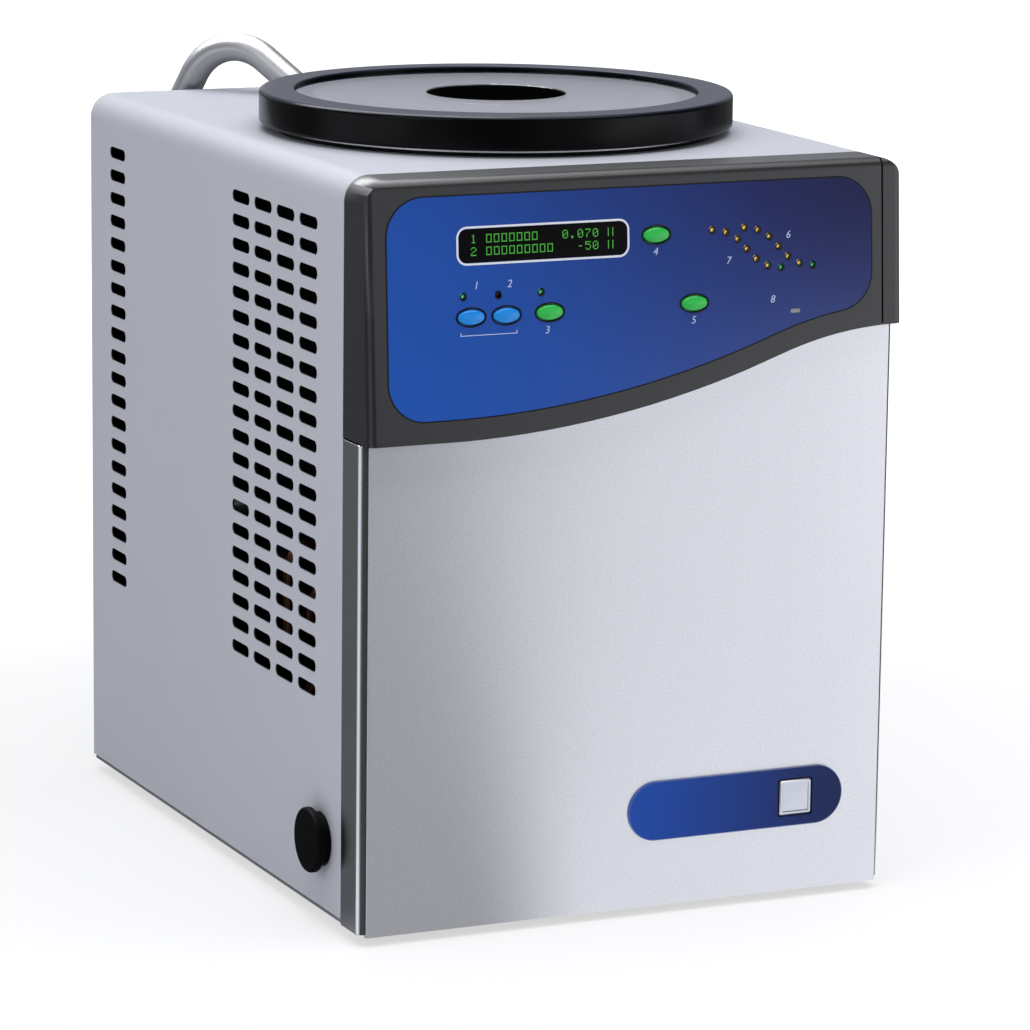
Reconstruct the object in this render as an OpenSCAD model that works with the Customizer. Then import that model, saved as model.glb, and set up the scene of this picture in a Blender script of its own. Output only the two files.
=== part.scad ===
// Benchtop freeze dryer: a painted cabinet with a steel front, a control head, and an
// upright collector chamber under a clear lid. Millimetres, +Z up, +X to the right of
// someone facing the controls. The origin is on the underside of the base pan, under the
// cabinet's centre, and the rubber feet reach below it.

/* [Cabinet] */
// Outside width of the cabinet
cab_w = 300; // [270:1:360]
// Depth from the front panel's face to the cover's rear edge
cab_d = 395; // [380:1:480]
// Height of the deck above the base pan's underside
cab_h = 384; // [378:1:463]
// Radius of the cover's two long top edges
cab_r = 13; // [9:0.5:20]
// Thickness of the painted cover's sheet
cover_t = 1.2; // [0.8:0.1:2]
// Height of the cover's lower edge
cover_z = 2; // [1.7:0.1:4]
// Height of the rubber feet under the base pan
foot_h = 7; // [5:0.5:8]
// Diameter of a foot where it meets the base pan
foot_d = 28; // [20:1:34]

/* [Front] */
// Depth of the steel front frame, from the panel's face back to the cover
post_d = 25; // [18:1:32]
// How far the front panel stands out of the front frame
panel_step = 2.5; // [1.5:0.5:6]
// Strip of the front frame left uncovered at each side of the panel
panel_side = 1.8; // [1.5:0.1:5]
// Height of the front panel's lower edge, which hangs below the base pan
panel_z = -2; // [-3:0.5:0]
// Thickness of the steel sheet in the front panel and frame
steel_t = 1.2; // [0.8:0.1:2]

/* [Control head] */
// Height of the head's left end
head_left = 131.5; // [120:0.5:150]
// Height of the head's right end
head_right = 86; // [84:0.5:110]
// How far the head's lower edge stands out of the front panel
head_out = 9.6; // [8:0.1:14]
// Backward lean of the head's face, in degrees
face_tilt = 3.5; // [1:0.25:3.75]
// Wall of the moulded head
head_wall = 2.5; // [2:0.1:3.5]
// Radius along the head's top front edge
head_r = 5; // [3:0.5:8]
// Width of the separate end cap at the right
cap_w = 11.5; // [8:0.5:16]
// Travel of a push button
button_travel = 1.0; // [0.5:0.1:1.4]

/* [Vent slots] */
// Length of one slot
slot_l = 24.5; // [16:0.5:26]
// Width of one slot
slot_w = 6.4; // [4:0.1:7]
// Spacing of slots along the cabinet
slot_px = 31; // [28:0.5:34]
// Spacing of slots up the cabinet
slot_pz = 12.7; // [9:0.1:13]
// Slots in one column
slot_rows = 20; // [8:1:20]

/* [Collector] */
// Outer diameter of the lid's rubber ring
ring_d = 253; // [246:1:262]
// Height of the lid's rubber ring
ring_h = 17.9; // [15:0.1:26]
// Width of the ring's top face, from its outer edge in to the lid
ring_rim = 18.7; // [17:0.1:22]
// Thickness of the clear lid
lid_t = 10; // [8:0.5:12]
// Diameter of the port through the lid
port_d = 74; // [50:0.2:90]
// How far the chamber's inner wall lies inside the lid's edge
lid_over = 12; // [11:0.1:20]
// Inside depth of the collector chamber, below its flange
chamber_deep = 168; // [120:1:170]
// Wall of the collector chamber
chamber_t = 1.5; // [1:0.1:2]
// Distance of the chamber's axis behind the front panel's face
chamber_back = 174.5; // [172:0.5:185]
// Turns of the refrigerant coil round the chamber
coil_turns = 7; // [3:1:7]

/* [Vacuum line] */
// Outer diameter of the vacuum tube
tube_d = 16; // [12:0.5:18]
// Wall of the vacuum tube
tube_t = 1.2; // [0.8:0.1:2]
// Bend radius of the vacuum tube
tube_bend = 32; // [22:1:34]

/* [Drain] */
// Diameter of the drain plug's head
plug_d = 34; // [30:0.5:40]
// Diameter of the drain plug's neck
neck_d = 26; // [20:0.5:28]
// How far the drain plug stands out of the cover
plug_out = 8.4; // [8:0.2:14]

/* [Refrigeration] */
// Diameter of the compressor's can
comp_d = 140; // [120:1:142]
// Height of the compressor's can
comp_h = 158; // [130:1:160]
// Diameter over the fan's blades
fan_d = 142; // [110:1:146]
// Blades on the fan
fan_blades = 5; // [3:1:7]

/* [Hidden] */

$fn = 64;
far = 600;           // longer than any part of the cabinet
arc_step = 12;       // degrees between the rings of a bent tube
eps = 1;             // how far a cutting shape runs past the face that it cuts
gap = 0.3;           // clearance between pieces that move past each other
fit = 0.15;          // clearance between pieces that are fitted and stay

// Finishes
paint = [0.68, 0.69, 0.72];
steel = [0.78, 0.78, 0.79];
dark_plastic = [0.22, 0.225, 0.235];
black = [0.05, 0.05, 0.055];
copper = [0.72, 0.42, 0.28];
galvanised = [0.6, 0.62, 0.63];

// Cabinet planes
half_w = cab_w / 2;
front_y = -cab_d / 2;
back_y = cab_d / 2;
joint_y = front_y + post_d;          // where the cover meets the frame and the head
pan_t = 1.5;
floor_z = pan_t;             // what the machinery stands on

frame_r = 4;                         // round corners of the front frame

// Control head
head_zl = cab_h - head_left;
head_zr = cab_h - head_right;
sweep_x0 = -half_w + 40;             // where the lower edge starts to rise
sweep_x1 = half_w - 2.2;             // where it is level again
sweep_a = 2 * atan((head_zr - head_zl) / (sweep_x1 - sweep_x0));
sweep_r = (sweep_x1 - sweep_x0) / sin(sweep_a);
sweep_r0 = 0.735 * sweep_r;          // long hollow arc at the left
sweep_r1 = 0.265 * sweep_r;          // shorter crown at the right
seam_x = half_w - cap_w;             // middle of the seam beside the end cap
seam_w = 1.0;

// Printed overlay on the head
film_left = 10.5;
film_right = 17.7;
film_top = 8.5;
film_low = 11;
film_r = 20;
film_t = 0.5;

// Controls: places are x, and distance below the deck
display_at = [-54, 34];
display_size = [92.9, 17.1];
display_r = 4.5;
menu_at = [8.7, 33.4];
select_at = [29.9, 69.1];
vacuum_at = [-51, 69.3];
auto_at = [-94.1, 69.5];
manual_at = [-74.8, 69.5];
button_size = [14.2, 7.6];
button_round = 2.6;                  // radius of the oval's ends
well_gap = 0.75;                     // dark ring round a button
status_at = [[-98.2, 58.8], [-79.1, 58.8], [-55.6, 58.6]];
ladder_at = [[40.4, 32.2], [58.6, 31.8]];
ladder_n = 7;
ladder_size = [39.3, 21];
led_r = 1.3;
led_hole_r = 1.9;
led_deep = 0.9;                      // how far a lamp's tip lies below the face
alarm_at = [87.6, 76.1];
alarm_size = [5.9, 2.4];
board_deep = 17;                     // from the face back to the circuit board
board_t = 1.6;
board_top = 12;
board_low = 81;
bulkhead_y = joint_y - 3.5;          // front of the plate behind the board

// Badge on the front panel
badge_at = [62.6, 48.8];
badge_size = [124.7, 31.5];
badge_t = 0.8;
tile_at = [97.2, 48.5];
tile_size = 18.4;
tile_well = 20.4;
tile_r = 1.2;
tile_out = 1.6;

// Vent slots
slot_top = 28.9;                       // centre of the top row, below the deck
vent_first = 46.5;                   // centre of the first column, behind the cover's front edge
vent_columns = 4;
vent_rear = 43.4;                      // centre of the single column, ahead of the rear edge
vent_floor = cover_z + 20;

// Collector
axis_y = front_y + chamber_back;
lid_d = ring_d - 2 * ring_rim;
chamber_d = lid_d - 2 * lid_over;
collar_t = 2.0;
flange_t = 1.6;
flange_z = cab_h + collar_t + flange_t;      // top of the chamber's flange, where the ring rests
chamber_ro = chamber_d / 2 + chamber_t;
flange_r = ring_d / 2 - 8;
collar_r = flange_r - 0.5;
ring_foot_r = 3;                             // round lower edge of the ring
deck_hole_r = chamber_ro + 3;
chamber_low = flange_z - chamber_deep;       // inside bottom
ring_top = flange_z + ring_h;
lid_low = ring_top - 2 - lid_t;
lip_r = chamber_d / 2 + 2;
coil_tube_r = 4;
coil_r = chamber_ro + coil_tube_r + 1;
coil_lift = 2.5;                     // middle of the last turn above the chamber's inside bottom
coil_end = 37;                       // where the first turn starts and the last one ends
coil_tail = 95;
foam_ri = coil_r + coil_tube_r + 1;
foam_ro = foam_ri + 24;
foam_top = cab_h - cover_t - 1;
foam_low = chamber_low - chamber_t - 12;

// Vacuum tube: bend points of its middle line, from the chamber to the hose end
tube_foot = [-39, back_y - 50];
tube_port_z = cab_h - 46;
tube_in = (chamber_d / 2 - 1) / norm([tube_foot[0], tube_foot[1] - axis_y]);
tube_path = [
    [tube_foot[0] * tube_in, axis_y + (tube_foot[1] - axis_y) * tube_in, tube_port_z],
    [tube_foot[0], tube_foot[1], tube_port_z],
    [tube_foot[0], tube_foot[1], cab_h],
    [-73.9, back_y - 5, cab_h + 39.7],
    [-90, back_y + 15.8, cab_h - 9],
    [-90, back_y + 15.8, cab_h - 46],
];
foot_bend = 24;
nipple_l = 34;
coil_top = tube_port_z - tube_d / 2 - coil_tube_r - 2;
coil_pitch = (coil_top - chamber_low - coil_lift) / (coil_turns - coil_end / 180);

// Drain
drain_at = [front_y + 51.2, 38];             // y and z of the plug's axis
drain_r = neck_d / 2 - 4;                    // bore of the drain fitting
drain_pipe_r = 7;

// Machinery under the collector
comp_r = comp_d / 2;
comp_rear = 10.5;                            // clearance behind the can
comp_side = 18;                              // from the cabinet's left side to the can
comp_at = [-half_w + comp_side + comp_r, back_y - comp_rear - comp_r];
grommet_h = 12;
plate_t = 2.5;
plate_z = floor_z + grommet_h;
comp_z = plate_z + plate_t;
bolt_at = (comp_r - 12) * [1, 1];
bolt_hole_r = 3.2;
cond_size = [206, 30, 176];
fan_ahead = 14;                              // from the condenser back to the fan's hub
motor_ahead = 6;                             // from the fan's hub back to the motor
motor_clear = 9;                             // from the motor back to the compressor
cond_z = floor_z + 8;
fan_x = 22;
fan_z = cond_z + cond_size[2] / 2;
fan_deep = 20;
shaft_r = 3;
motor_r = 27;
motor_l = 30;
motor_y = comp_at[1] - comp_r - motor_clear - motor_l;
fan_y = motor_y - motor_ahead - fan_deep;    // front of the fan's hub
shroud_y = fan_y - fan_ahead;                // back of the condenser
cond_y = shroud_y - cond_size[1];

// Rear panel
rear_t = 1.2;
rear_y = back_y - rear_t;                    // inner face of the back panel
rear_vent = [-half_w + 38, floor_z + 44];    // middle of the grille's lowest slot at the left
rear_columns = 4;
rear_rows = 9;
inlet_at = [112, 55];
outlet_at = [60, 55];
switch_at = [112, 97];
flange_out = 2.4;                            // thickness of a socket's flange
flange_screw = 20;

// Condenser tubes and refrigerant lines
row_n = 7;
row_pitch = 24;
row_r = 4.5;
stub = 14;                                   // length of the pipe stubs on the compressor
suction_z = 143;
discharge_z = 113;
drier_at = [126, 20];
drier_z = [63, 153];
capillary_r = 2;

// ---------- helpers ----------

function face_y(z) = front_y - head_out + (z - head_zl) * tan(face_tilt);
function unit(v) = v / norm(v);

// Extrudes an outline drawn in X and Z along Y.
module along_y(y0, y1) translate([0, y1, 0]) rotate([90, 0, 0]) linear_extrude(y1 - y0) children();

// Extrudes an outline drawn in Y and Z along X.
module along_x(x0, x1) translate([x0, 0, 0]) rotate([90, 0, 90]) linear_extrude(x1 - x0) children();

module box2d(a, b) translate(a) square(b - a);

module box3d(a, b) translate(a) cube(b - a);

module round_rect(size, r) {
    square([size[0] - 2 * r, size[1]], center = true);
    square([size[0], size[1] - 2 * r], center = true);
    for (x = [-1, 1], y = [-1, 1])
        translate([x * (size[0] / 2 - r), y * (size[1] / 2 - r)]) circle(r);
}

module obround(l, w) {
    square([l - w, w], center = true);
    for (s = [-1, 1]) translate([s * (l - w) / 2, 0]) circle(w / 2, $fn = 24);
}

// Oval of four arcs: two round ends of radius r, joined by two flatter arcs.
module oval(size, r) {
    a = size[0] / 2;
    b = size[1] / 2;
    c = a - r;
    k = (c * c - (b - r) * (b - r)) / (2 * (b - r));
    big = b + k;
    t = c + r * c / norm([c, k]);
    intersection() {
        translate([0, -k]) circle(big, $fn = 96);
        translate([0, k]) circle(big, $fn = 96);
        square([2 * t, 4 * b], center = true);
    }
    for (s = [-1, 1]) translate([s * c, 0]) circle(r, $fn = 32);
}

// What a round corner takes away: the corner between two edges, outside the circle at c.
module corner_cut(c, r, t1, corner, t2) difference() {
    polygon([c, t1, corner, t2]);
    translate(c) circle(r);
}

// Outline of a cabinet with round top edges.
module arch(w, z0, z1, r) {
    box2d([-w / 2, z0], [w / 2, z1 - r]);
    box2d([-w / 2 + r, z0], [w / 2 - r, z1]);
    for (s = [-1, 1]) translate([s * (w / 2 - r), z1 - r]) circle(r);
}

module rod(a, b, r) {
    d = b - a;
    l = norm(d);
    turn = acos(d[2] / l);
    spin = atan2(d[1], d[0]);
    translate(a) rotate([0, turn, spin]) cylinder(r = r, h = l);
}

// Points along an arc that rounds the corner p of a route, between points before and after.
function bend_arc(before, p, after, bend) =
    let (
        in = unit(p - before),
        out = unit(after - p),
        turn = acos(in * out),
        c = p + unit(out - in) * bend / cos(turn / 2),
        x = unit(p - in * bend * tan(turn / 2) - c),
        n = ceil(turn / arc_step)
    ) [for (i = [0:n]) c + bend * (x * cos(turn * i / n) + in * sin(turn * i / n))];

// A route through points p with its corners rounded to the radii in bends.
function route(p, bends) = concat(
    [p[0]], [for (i = [1:len(p) - 2]) each bend_arc(p[i - 1], p[i], p[i + 1], bends[i - 1])], [p[len(p) - 1]]
);

// Directions along a route, and cross directions that turn with it without twisting.
function headings(p) = [for (i = [0:len(p) - 1])
    unit((i < len(p) - 1 ? unit(p[i + 1] - p[i]) : [0, 0, 0]) + (i > 0 ? unit(p[i] - p[i - 1]) : [0, 0, 0]))];
function square_to(n, t) = unit(n - (n * t) * t);
function crossings(t) = [
    for (i = 0, n = square_to(abs(t[0][2]) < 0.9 ? [0, 0, 1] : [1, 0, 0], t[0]); i < len(t);
        i = i + 1, n = i < len(t) ? square_to(n, t[i]) : n) n];

// Round bar of radius r along a route.
module sweep(p, r, sides) {
    t = headings(p);
    n = crossings(t);
    polyhedron(
        [for (i = [0:len(p) - 1], k = [0:sides - 1])
            p[i] + r * (cos(360 * k / sides) * n[i] + sin(360 * k / sides) * cross(t[i], n[i]))],
        concat(
            [[for (k = [0:sides - 1]) k]],
            [for (i = [0:len(p) - 2], k = [0:sides - 1]) let (m = (k + 1) % sides)
                [i * sides + k, (i + 1) * sides + k, (i + 1) * sides + m, i * sides + m]],
            [[for (k = [sides - 1:-1:0]) (len(p) - 1) * sides + k]]
        )
    );
}

// Line or tube of radius r along points p, with round bends.
module pipe(p, r, bends, sides = 12) sweep(route(p, bends), r, sides);

// Puts something on the head's face: +Z points out of the face and +Y up along it.
module on_face(at) {
    z = cab_h - at[1];
    translate([at[0], face_y(z), z]) rotate([90 - face_tilt, 0, 0]) children();
}

// Everything between two depths out of the head's face.
module face_slab(low, high) on_face([0, head_left])
    translate([-far / 2, -far / 4, low]) cube([far, far, high - low]);

// ---------- cabinet ----------

module slot_rows_at(y, x0, x1, low) {
    for (i = [0:slot_rows - 1])
        let (z = cab_h - slot_top - i * slot_pz)
            if (z - slot_w > low)
                along_x(x0, x1) translate([y, z]) obround(slot_l, slot_w);
}

module grommet_shape(grow) translate(tube_foot)
    rotate([0, 0, atan2(tube_path[3][1] - tube_foot[1], tube_path[3][0] - tube_foot[0])]) translate([3, 0])
        obround(tube_d + 16 + 2 * grow, tube_d + 12 + 2 * grow);

module wrap_cover() color(paint) difference() {
    union() {
        along_y(joint_y, back_y) difference() {
            arch(cab_w, cover_z, cab_h, cab_r);
            arch(cab_w - 2 * cover_t, cover_z - eps, cab_h - cover_t, cab_r - cover_t);
        }
        // Flange that carries the back panel
        along_y(rear_y - cover_t, rear_y) difference() {
            arch(cab_w - 2 * cover_t, cover_z + 6, cab_h - cover_t, cab_r - cover_t);
            arch(cab_w - 2 * cover_t - 22, cover_z, cab_h - cover_t - 11, cab_r - cover_t);
        }
    }
    translate([0, axis_y, cab_h - cover_t - eps]) cylinder(r = deck_hole_r, h = cover_t + 2 * eps, $fn = 128);
    translate([0, 0, cab_h - cover_t - eps]) linear_extrude(cover_t + 2 * eps) grommet_shape(-4);
    along_x(-half_w - eps, -half_w + cover_t + eps) translate(drain_at) circle(neck_d / 2 + 1.2);
    for (s = [-1, 1]) {
        x0 = s < 0 ? -half_w - eps : half_w - cover_t - eps;
        x1 = x0 + cover_t + 2 * eps;
        for (c = [0:vent_columns - 1]) slot_rows_at(joint_y + vent_first + c * slot_px, x0, x1, vent_floor);
        slot_rows_at(back_y - vent_rear, x0, x1, vent_floor);
    }
    screw_holes(rear_y - 4, back_y + eps);
}

// Plan of a folded sheet: a front web with two side legs and round corners.
module channel_plan(w, y0, y1, t, r) difference() {
    leg = 2 * (y1 - y0);
    translate([0, y0 + leg / 2]) round_rect([w, leg], r);
    translate([0, y0 + t + leg / 2]) round_rect([w - 2 * t, leg], r - t);
    box2d([-w, y1], [w, y0 + 2 * leg]);
}

module front_frame() color(steel) difference() {
    translate([0, 0, panel_z + 1])
        linear_extrude(head_zr - panel_z - 2)
            channel_plan(cab_w, front_y + panel_step, joint_y, steel_t, frame_r);
    // The left side ends lower, under the head's deeper end
    box3d([-half_w - eps, front_y, head_zl - 1], [half_w - 20, joint_y + eps, head_zr + eps]);
    // Window behind the front panel
    box3d([-half_w + 18, front_y, panel_z + 30], [half_w - 18, front_y + panel_step + 5, head_zl - 20]);
}

module front_panel() color(steel) {
    w = cab_w - 2 * panel_side;
    top = head_zr + 7;
    difference() {
        box3d([-w / 2, front_y, panel_z], [w / 2, front_y + panel_step, top]);
        box3d([-w / 2 + steel_t, front_y + steel_t, panel_z + steel_t],
            [w / 2 - steel_t, front_y + panel_step + eps, top + eps]);
        // Notches that let the panel's top slide up inside the head
        box3d([-w / 2 - eps, front_y - eps, head_zl - 1], [-w / 2 + 4, joint_y, top + eps]);
        box3d([w / 2 - 4, front_y - eps, head_zr - 1], [w / 2 + eps, joint_y, top + eps]);
        // Cooling gap in the lower fold
        box3d([-w / 2 + 26, front_y + steel_t + 0.8, panel_z - eps],
            [w / 2 - 26, front_y + panel_step + eps, panel_z + steel_t + eps]);
    }
}

module base_pan() color(galvanised) {
    inner = half_w - cover_t - gap;
    y0 = front_y + panel_step + frame_r;
    y1 = rear_y - cover_t - gap;
    difference() {
        union() {
            box3d([-half_w + 0.4, joint_y + gap, 0], [half_w - 0.4, y1, floor_z]);
            box3d([-inner, y0, 0], [inner, joint_y + gap, floor_z]);
            for (s = [0, 1]) mirror([s, 0, 0])
                box3d([inner - pan_t, y0, floor_z], [inner, y1, floor_z + 14]);
            box3d([-inner, y0, floor_z], [inner, y0 + pan_t, floor_z + 14]);
            box3d([-inner, y1 - pan_t, floor_z], [inner, y1, floor_z + 14]);
        }
        for (x = [-3:3]) translate([x * 30, front_y + 70, -eps])
            linear_extrude(pan_t + 2 * eps) rotate(90) obround(40, 8);
        for (p = bolt_places()) translate([p[0], p[1], -eps]) cylinder(r = bolt_hole_r, h = pan_t + 2 * eps);
    }
}

module feet() color(black) for (x = [-1, 1], y = [-1, 1])
    translate([x * (half_w - 26), y * (cab_d / 2 - 34), -foot_h]) difference() {
        cylinder(d1 = foot_d - 5, d2 = foot_d, h = foot_h);
        translate([0, 0, -eps]) cylinder(r = 4, h = 3 + eps);
    }

// Each screw is x, z and how far its head's seat stands out of the back panel.
function screw_places() = concat(
    [for (x = [-1, 1], z = [0.12, 0.5, 0.88]) [x * (half_w - 8), z * cab_h, 0]],
    [for (x = [-1, 1]) [x * half_w * 0.45, cab_h - cover_t - 6, 0]],
    [for (p = [inlet_at, outlet_at], x = [-1, 1]) [p[0] + x * flange_screw, p[1], flange_out]]
);

module screw_holes(y0, y1) for (p = screw_places()) rod([p[0], y1, p[1]], [p[0], y0, p[1]], 1.6, $fn = 24);

module panel_screws() color(steel) for (p = screw_places())
    translate([p[0], back_y + p[2], p[1]]) rotate([90, 0, 0]) {
        intersection() {
            translate([0, 0, -2.1]) cylinder(r = 3.3, h = 2.1);
            translate([0, 0, 2.6]) sphere(4.7);
        }
        cylinder(r = 1.5, h = rear_t + cover_t + 2 + p[2], $fn = 24);
    }

module back_panel() color(paint) difference() {
    along_y(rear_y, back_y)
        arch(cab_w - 2 * cover_t - 0.6, cover_z + 1, cab_h - cover_t - gap, cab_r - cover_t - gap);
    for (c = [0:rear_columns - 1], i = [0:rear_rows - 1])
        along_y(rear_y - eps, back_y + eps)
            translate([rear_vent[0] + c * slot_px, rear_vent[1] + i * slot_pz]) obround(slot_l, slot_w);
    screw_holes(rear_y - eps, back_y + eps);
    along_y(rear_y - eps, back_y + eps) {
        translate(inlet_at) round_rect([27.2, 19.8], 3);
        translate(outlet_at) round_rect([27.2, 19.8], 3);
        translate(switch_at) square([19.2, 27.2], center = true);
    }
}

// ---------- control head ----------

// Front outline of the head: its swept lower edge drawn in by g, its sides and top by edge.
module head_front(g, edge) {
    rise = head_zl + sweep_r0 - (sweep_r0 - g) * cos(sweep_a);
    mid = sweep_x0 + (sweep_r0 - g) * sin(sweep_a);
    low = head_zl - 10;
    difference() {
        arch(cab_w - 2 * edge, head_zl + g, cab_h - edge, max(cab_r - edge, 0.5));
        difference() {
            box2d([sweep_x0, low], [mid + eps, rise]);
            translate([sweep_x0, head_zl + sweep_r0]) circle(sweep_r0 - g, $fn = 720);
        }
        box2d([mid, low], [half_w + eps, rise]);
        intersection() {
            box2d([mid, rise - eps], [sweep_x1, head_zr + g]);
            translate([sweep_x1, head_zr - sweep_r1]) circle(sweep_r1 + g, $fn = 360);
        }
        box2d([sweep_x1 - 0.5, low], [half_w + eps, head_zr + g]);
    }
}

// Side outline of the head, drawn in by g from its face and top, and open at the back.
module head_side(g) {
    r = max(head_r - g, 1);
    top = cab_h - g;
    low = head_zl - 10;
    in = g / cos(face_tilt);
    c = [face_y(top - r) + in + r / cos(face_tilt), top - r];
    back = joint_y - gap + (g > 0 ? eps : 0);
    difference() {
        polygon([[back, low], [face_y(low) + in, low], [face_y(top) + in, top], [back, top]]);
        corner_cut(c, r, c + r * [-cos(face_tilt), sin(face_tilt)],
            [face_y(top) + in - eps, top + eps], c + [0, r]);
    }
}

module head_outside() intersection() {
    along_y(front_y - 30, joint_y) head_front(0, 0);
    along_x(-half_w, half_w) head_side(0);
    // Rounds the upright edges between the face and the sides
    translate([0, face_y(head_zl - 20), head_zl - 20]) rotate([-face_tilt, 0, 0])
        linear_extrude(head_left + 40) translate([0, 40]) round_rect([cab_w, 80], 4);
}

module head_inside() {
    intersection() {
        along_y(front_y - 30, joint_y + far) head_front(head_wall, head_wall);
        along_x(-half_w, half_w) head_side(head_wall);
    }
    // The lower wall stops short of the front panel, which runs up inside
    box3d([-half_w + head_wall, front_y - gap, head_zl - eps],
        [half_w - head_wall, joint_y + eps, head_zr + 20]);
}

module film_outline(e) {
    x0 = -half_w + film_left - e;
    x1 = half_w - film_right + e;
    top = cab_h - film_top + e;
    g = film_low - e;
    r = film_r + e;
    crown = sweep_r1 + g;
    crown_c = [sweep_x1, head_zr - sweep_r1];
    c = [x1 - r,
        crown_c[1] + sqrt((crown + r) * (crown + r) - (x1 - r - crown_c[0]) * (x1 - r - crown_c[0]))];
    low = head_zl + g;
    difference() {
        intersection() {
            head_front(g, 0);
            box2d([x0, low - 5], [x1, top]);
        }
        corner_cut([x0 + r, top - r], r, [x0 - eps, top - r], [x0 - eps, top + eps], [x0 + r, top + eps]);
        corner_cut([x1 - r, top - r], r, [x1 + eps, top - r], [x1 + eps, top + eps], [x1 - r, top + eps]);
        corner_cut([x0 + r, low + r], r, [x0 - eps, low + r], [x0 - eps, low - eps], [x0 + r, low - eps]);
        corner_cut(c, r, c + [r + eps, 0],
            [x1 + eps, crown_c[1] + crown - 8], c + unit(crown_c - c) * (r + eps));
    }
}

function button_places() = [menu_at, select_at, vacuum_at, auto_at, manual_at];

// One indicator ladder: an S of lamps, closer together down its slope.
function ladder(i) = [for (n = [0:ladder_n - 1]) ladder_at[i] + [
    ladder_size[0] * n / (ladder_n - 1) + 1.4 * sin(60 * n),
    ladder_size[1] * (1 - cos(30 * n)) / 2,
]];

function lamp_places() = concat(status_at, ladder(0), ladder(1));

module control_holes(grow) {
    for (p = button_places()) on_face(p) translate([0, 0, -8]) linear_extrude(16)
        oval(button_size + 2 * (well_gap + grow) * [1, 1], button_round + well_gap + grow);
    for (p = lamp_places())
        on_face(p) translate([0, 0, -8]) cylinder(r = led_hole_r + grow, h = 16, $fn = 32);
    on_face(display_at) translate([0, 0, -8]) linear_extrude(16)
        round_rect(display_size + 2 * grow * [1, 1], display_r + grow);
    on_face(alarm_at) translate([0, 0, -8]) linear_extrude(16)
        obround(alarm_size[0] + 2 * grow, alarm_size[1] + 2 * grow);
}

module head_shell() difference() {
    head_outside();
    head_inside();
}

module control_bezel() color(dark_plastic) difference() {
    head_shell();
    box3d([seam_x - seam_w / 2, front_y - 40, head_zl - 20], [half_w + eps, joint_y + eps, cab_h + eps]);
    intersection() {
        along_y(front_y - 30, front_y + 30) film_outline(fit);
        face_slab(-film_t, 10);
    }
    control_holes(0);
}

module bezel_end_cap() color(dark_plastic) {
    difference() {
        head_shell();
        box3d([-half_w - eps, front_y - 40, head_zl - 20], [seam_x + seam_w / 2, joint_y + eps, cab_h + eps]);
    }
    // Web that closes the cap behind the seam
    intersection() {
        head_outside();
        box3d([seam_x + seam_w / 2, face_y(head_zr), head_zr],
            [seam_x + seam_w / 2 + 1.5, front_y - gap, cab_h]);
        along_x(-half_w, half_w) head_side(1);
    }
}

module control_bulkhead() color(galvanised) {
    w = cab_w - 2 * head_wall - 4;
    low = head_zl - 9;
    difference() {
        union() {
            along_y(bulkhead_y, bulkhead_y + 1.2) arch(w, low, cab_h - head_wall - 1, cab_r - head_wall);
            // Feet that stand on the front frame's web
            for (s = [0, 1]) mirror([s, 0, 0])
                box3d([w / 2 - 30, front_y + panel_step + steel_t, low],
                    [w / 2, bulkhead_y, low + 1.2]);
            // Lip under the deck
            box3d([-w / 2 + 20, bulkhead_y, cab_h - head_wall - 2.2],
                [w / 2 - 20, joint_y + 8, cab_h - head_wall - 1]);
        }
        for (x = [-1, 1]) along_y(front_y, joint_y) translate([x * 60, cab_h - 100]) circle(12);
    }
}

module control_overlay() color([0.15, 0.28, 0.6]) difference() {
    intersection() {
        along_y(front_y - 30, front_y + 30) film_outline(0);
        face_slab(-film_t, 0.1);
    }
    control_holes(0);
}

module display_window() color([0.03, 0.03, 0.035]) on_face(display_at) {
    translate([0, 0, -head_wall - fit]) linear_extrude(head_wall + fit - 0.2)
        round_rect(display_size - 2 * fit * [1, 1], display_r - fit);
    translate([0, 0, -head_wall - 1.2]) linear_extrude(1.2 - fit)
        round_rect(display_size + [5, 5], display_r);
}

module display_module() color([0.1, 0.25, 0.15]) on_face(display_at) {
    translate([0, 0, -board_deep]) linear_extrude(board_deep - head_wall - 1.5)
        square([88, 15], center = true);
    translate([0, 0, -board_deep]) linear_extrude(3) square([98, 22], center = true);
}

module control_board() color([0.1, 0.35, 0.2]) {
    mid = (board_top + board_low) / 2;
    on_face([-2, mid]) translate([0, 0, -board_deep - board_t])
        linear_extrude(board_t) square([220, board_low - board_top], center = true);
    // Key switches under the buttons
    for (p = button_places()) on_face(p) translate([0, 0, -board_deep]) {
        linear_extrude(2.2) square([6, 6], center = true);
    }
    // Processor and driver packages on the back
    for (x = [-60, 5, 55]) on_face([x, mid + 8]) translate([0, 0, -board_deep - board_t - 2.4])
        linear_extrude(2.4) square([26, 12], center = true);
}

module board_standoffs() color(steel) difference() {
    for (x = [-106, 102], d = [board_top + 5, board_low - 5])
        on_face([x, d]) translate([0, 0, -board_deep - board_t - 30]) cylinder(r = 3, h = 30, $fn = 32);
    box3d([-half_w, bulkhead_y, head_zl - 20], [half_w, joint_y + 60, cab_h + 20]);
}

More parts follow.
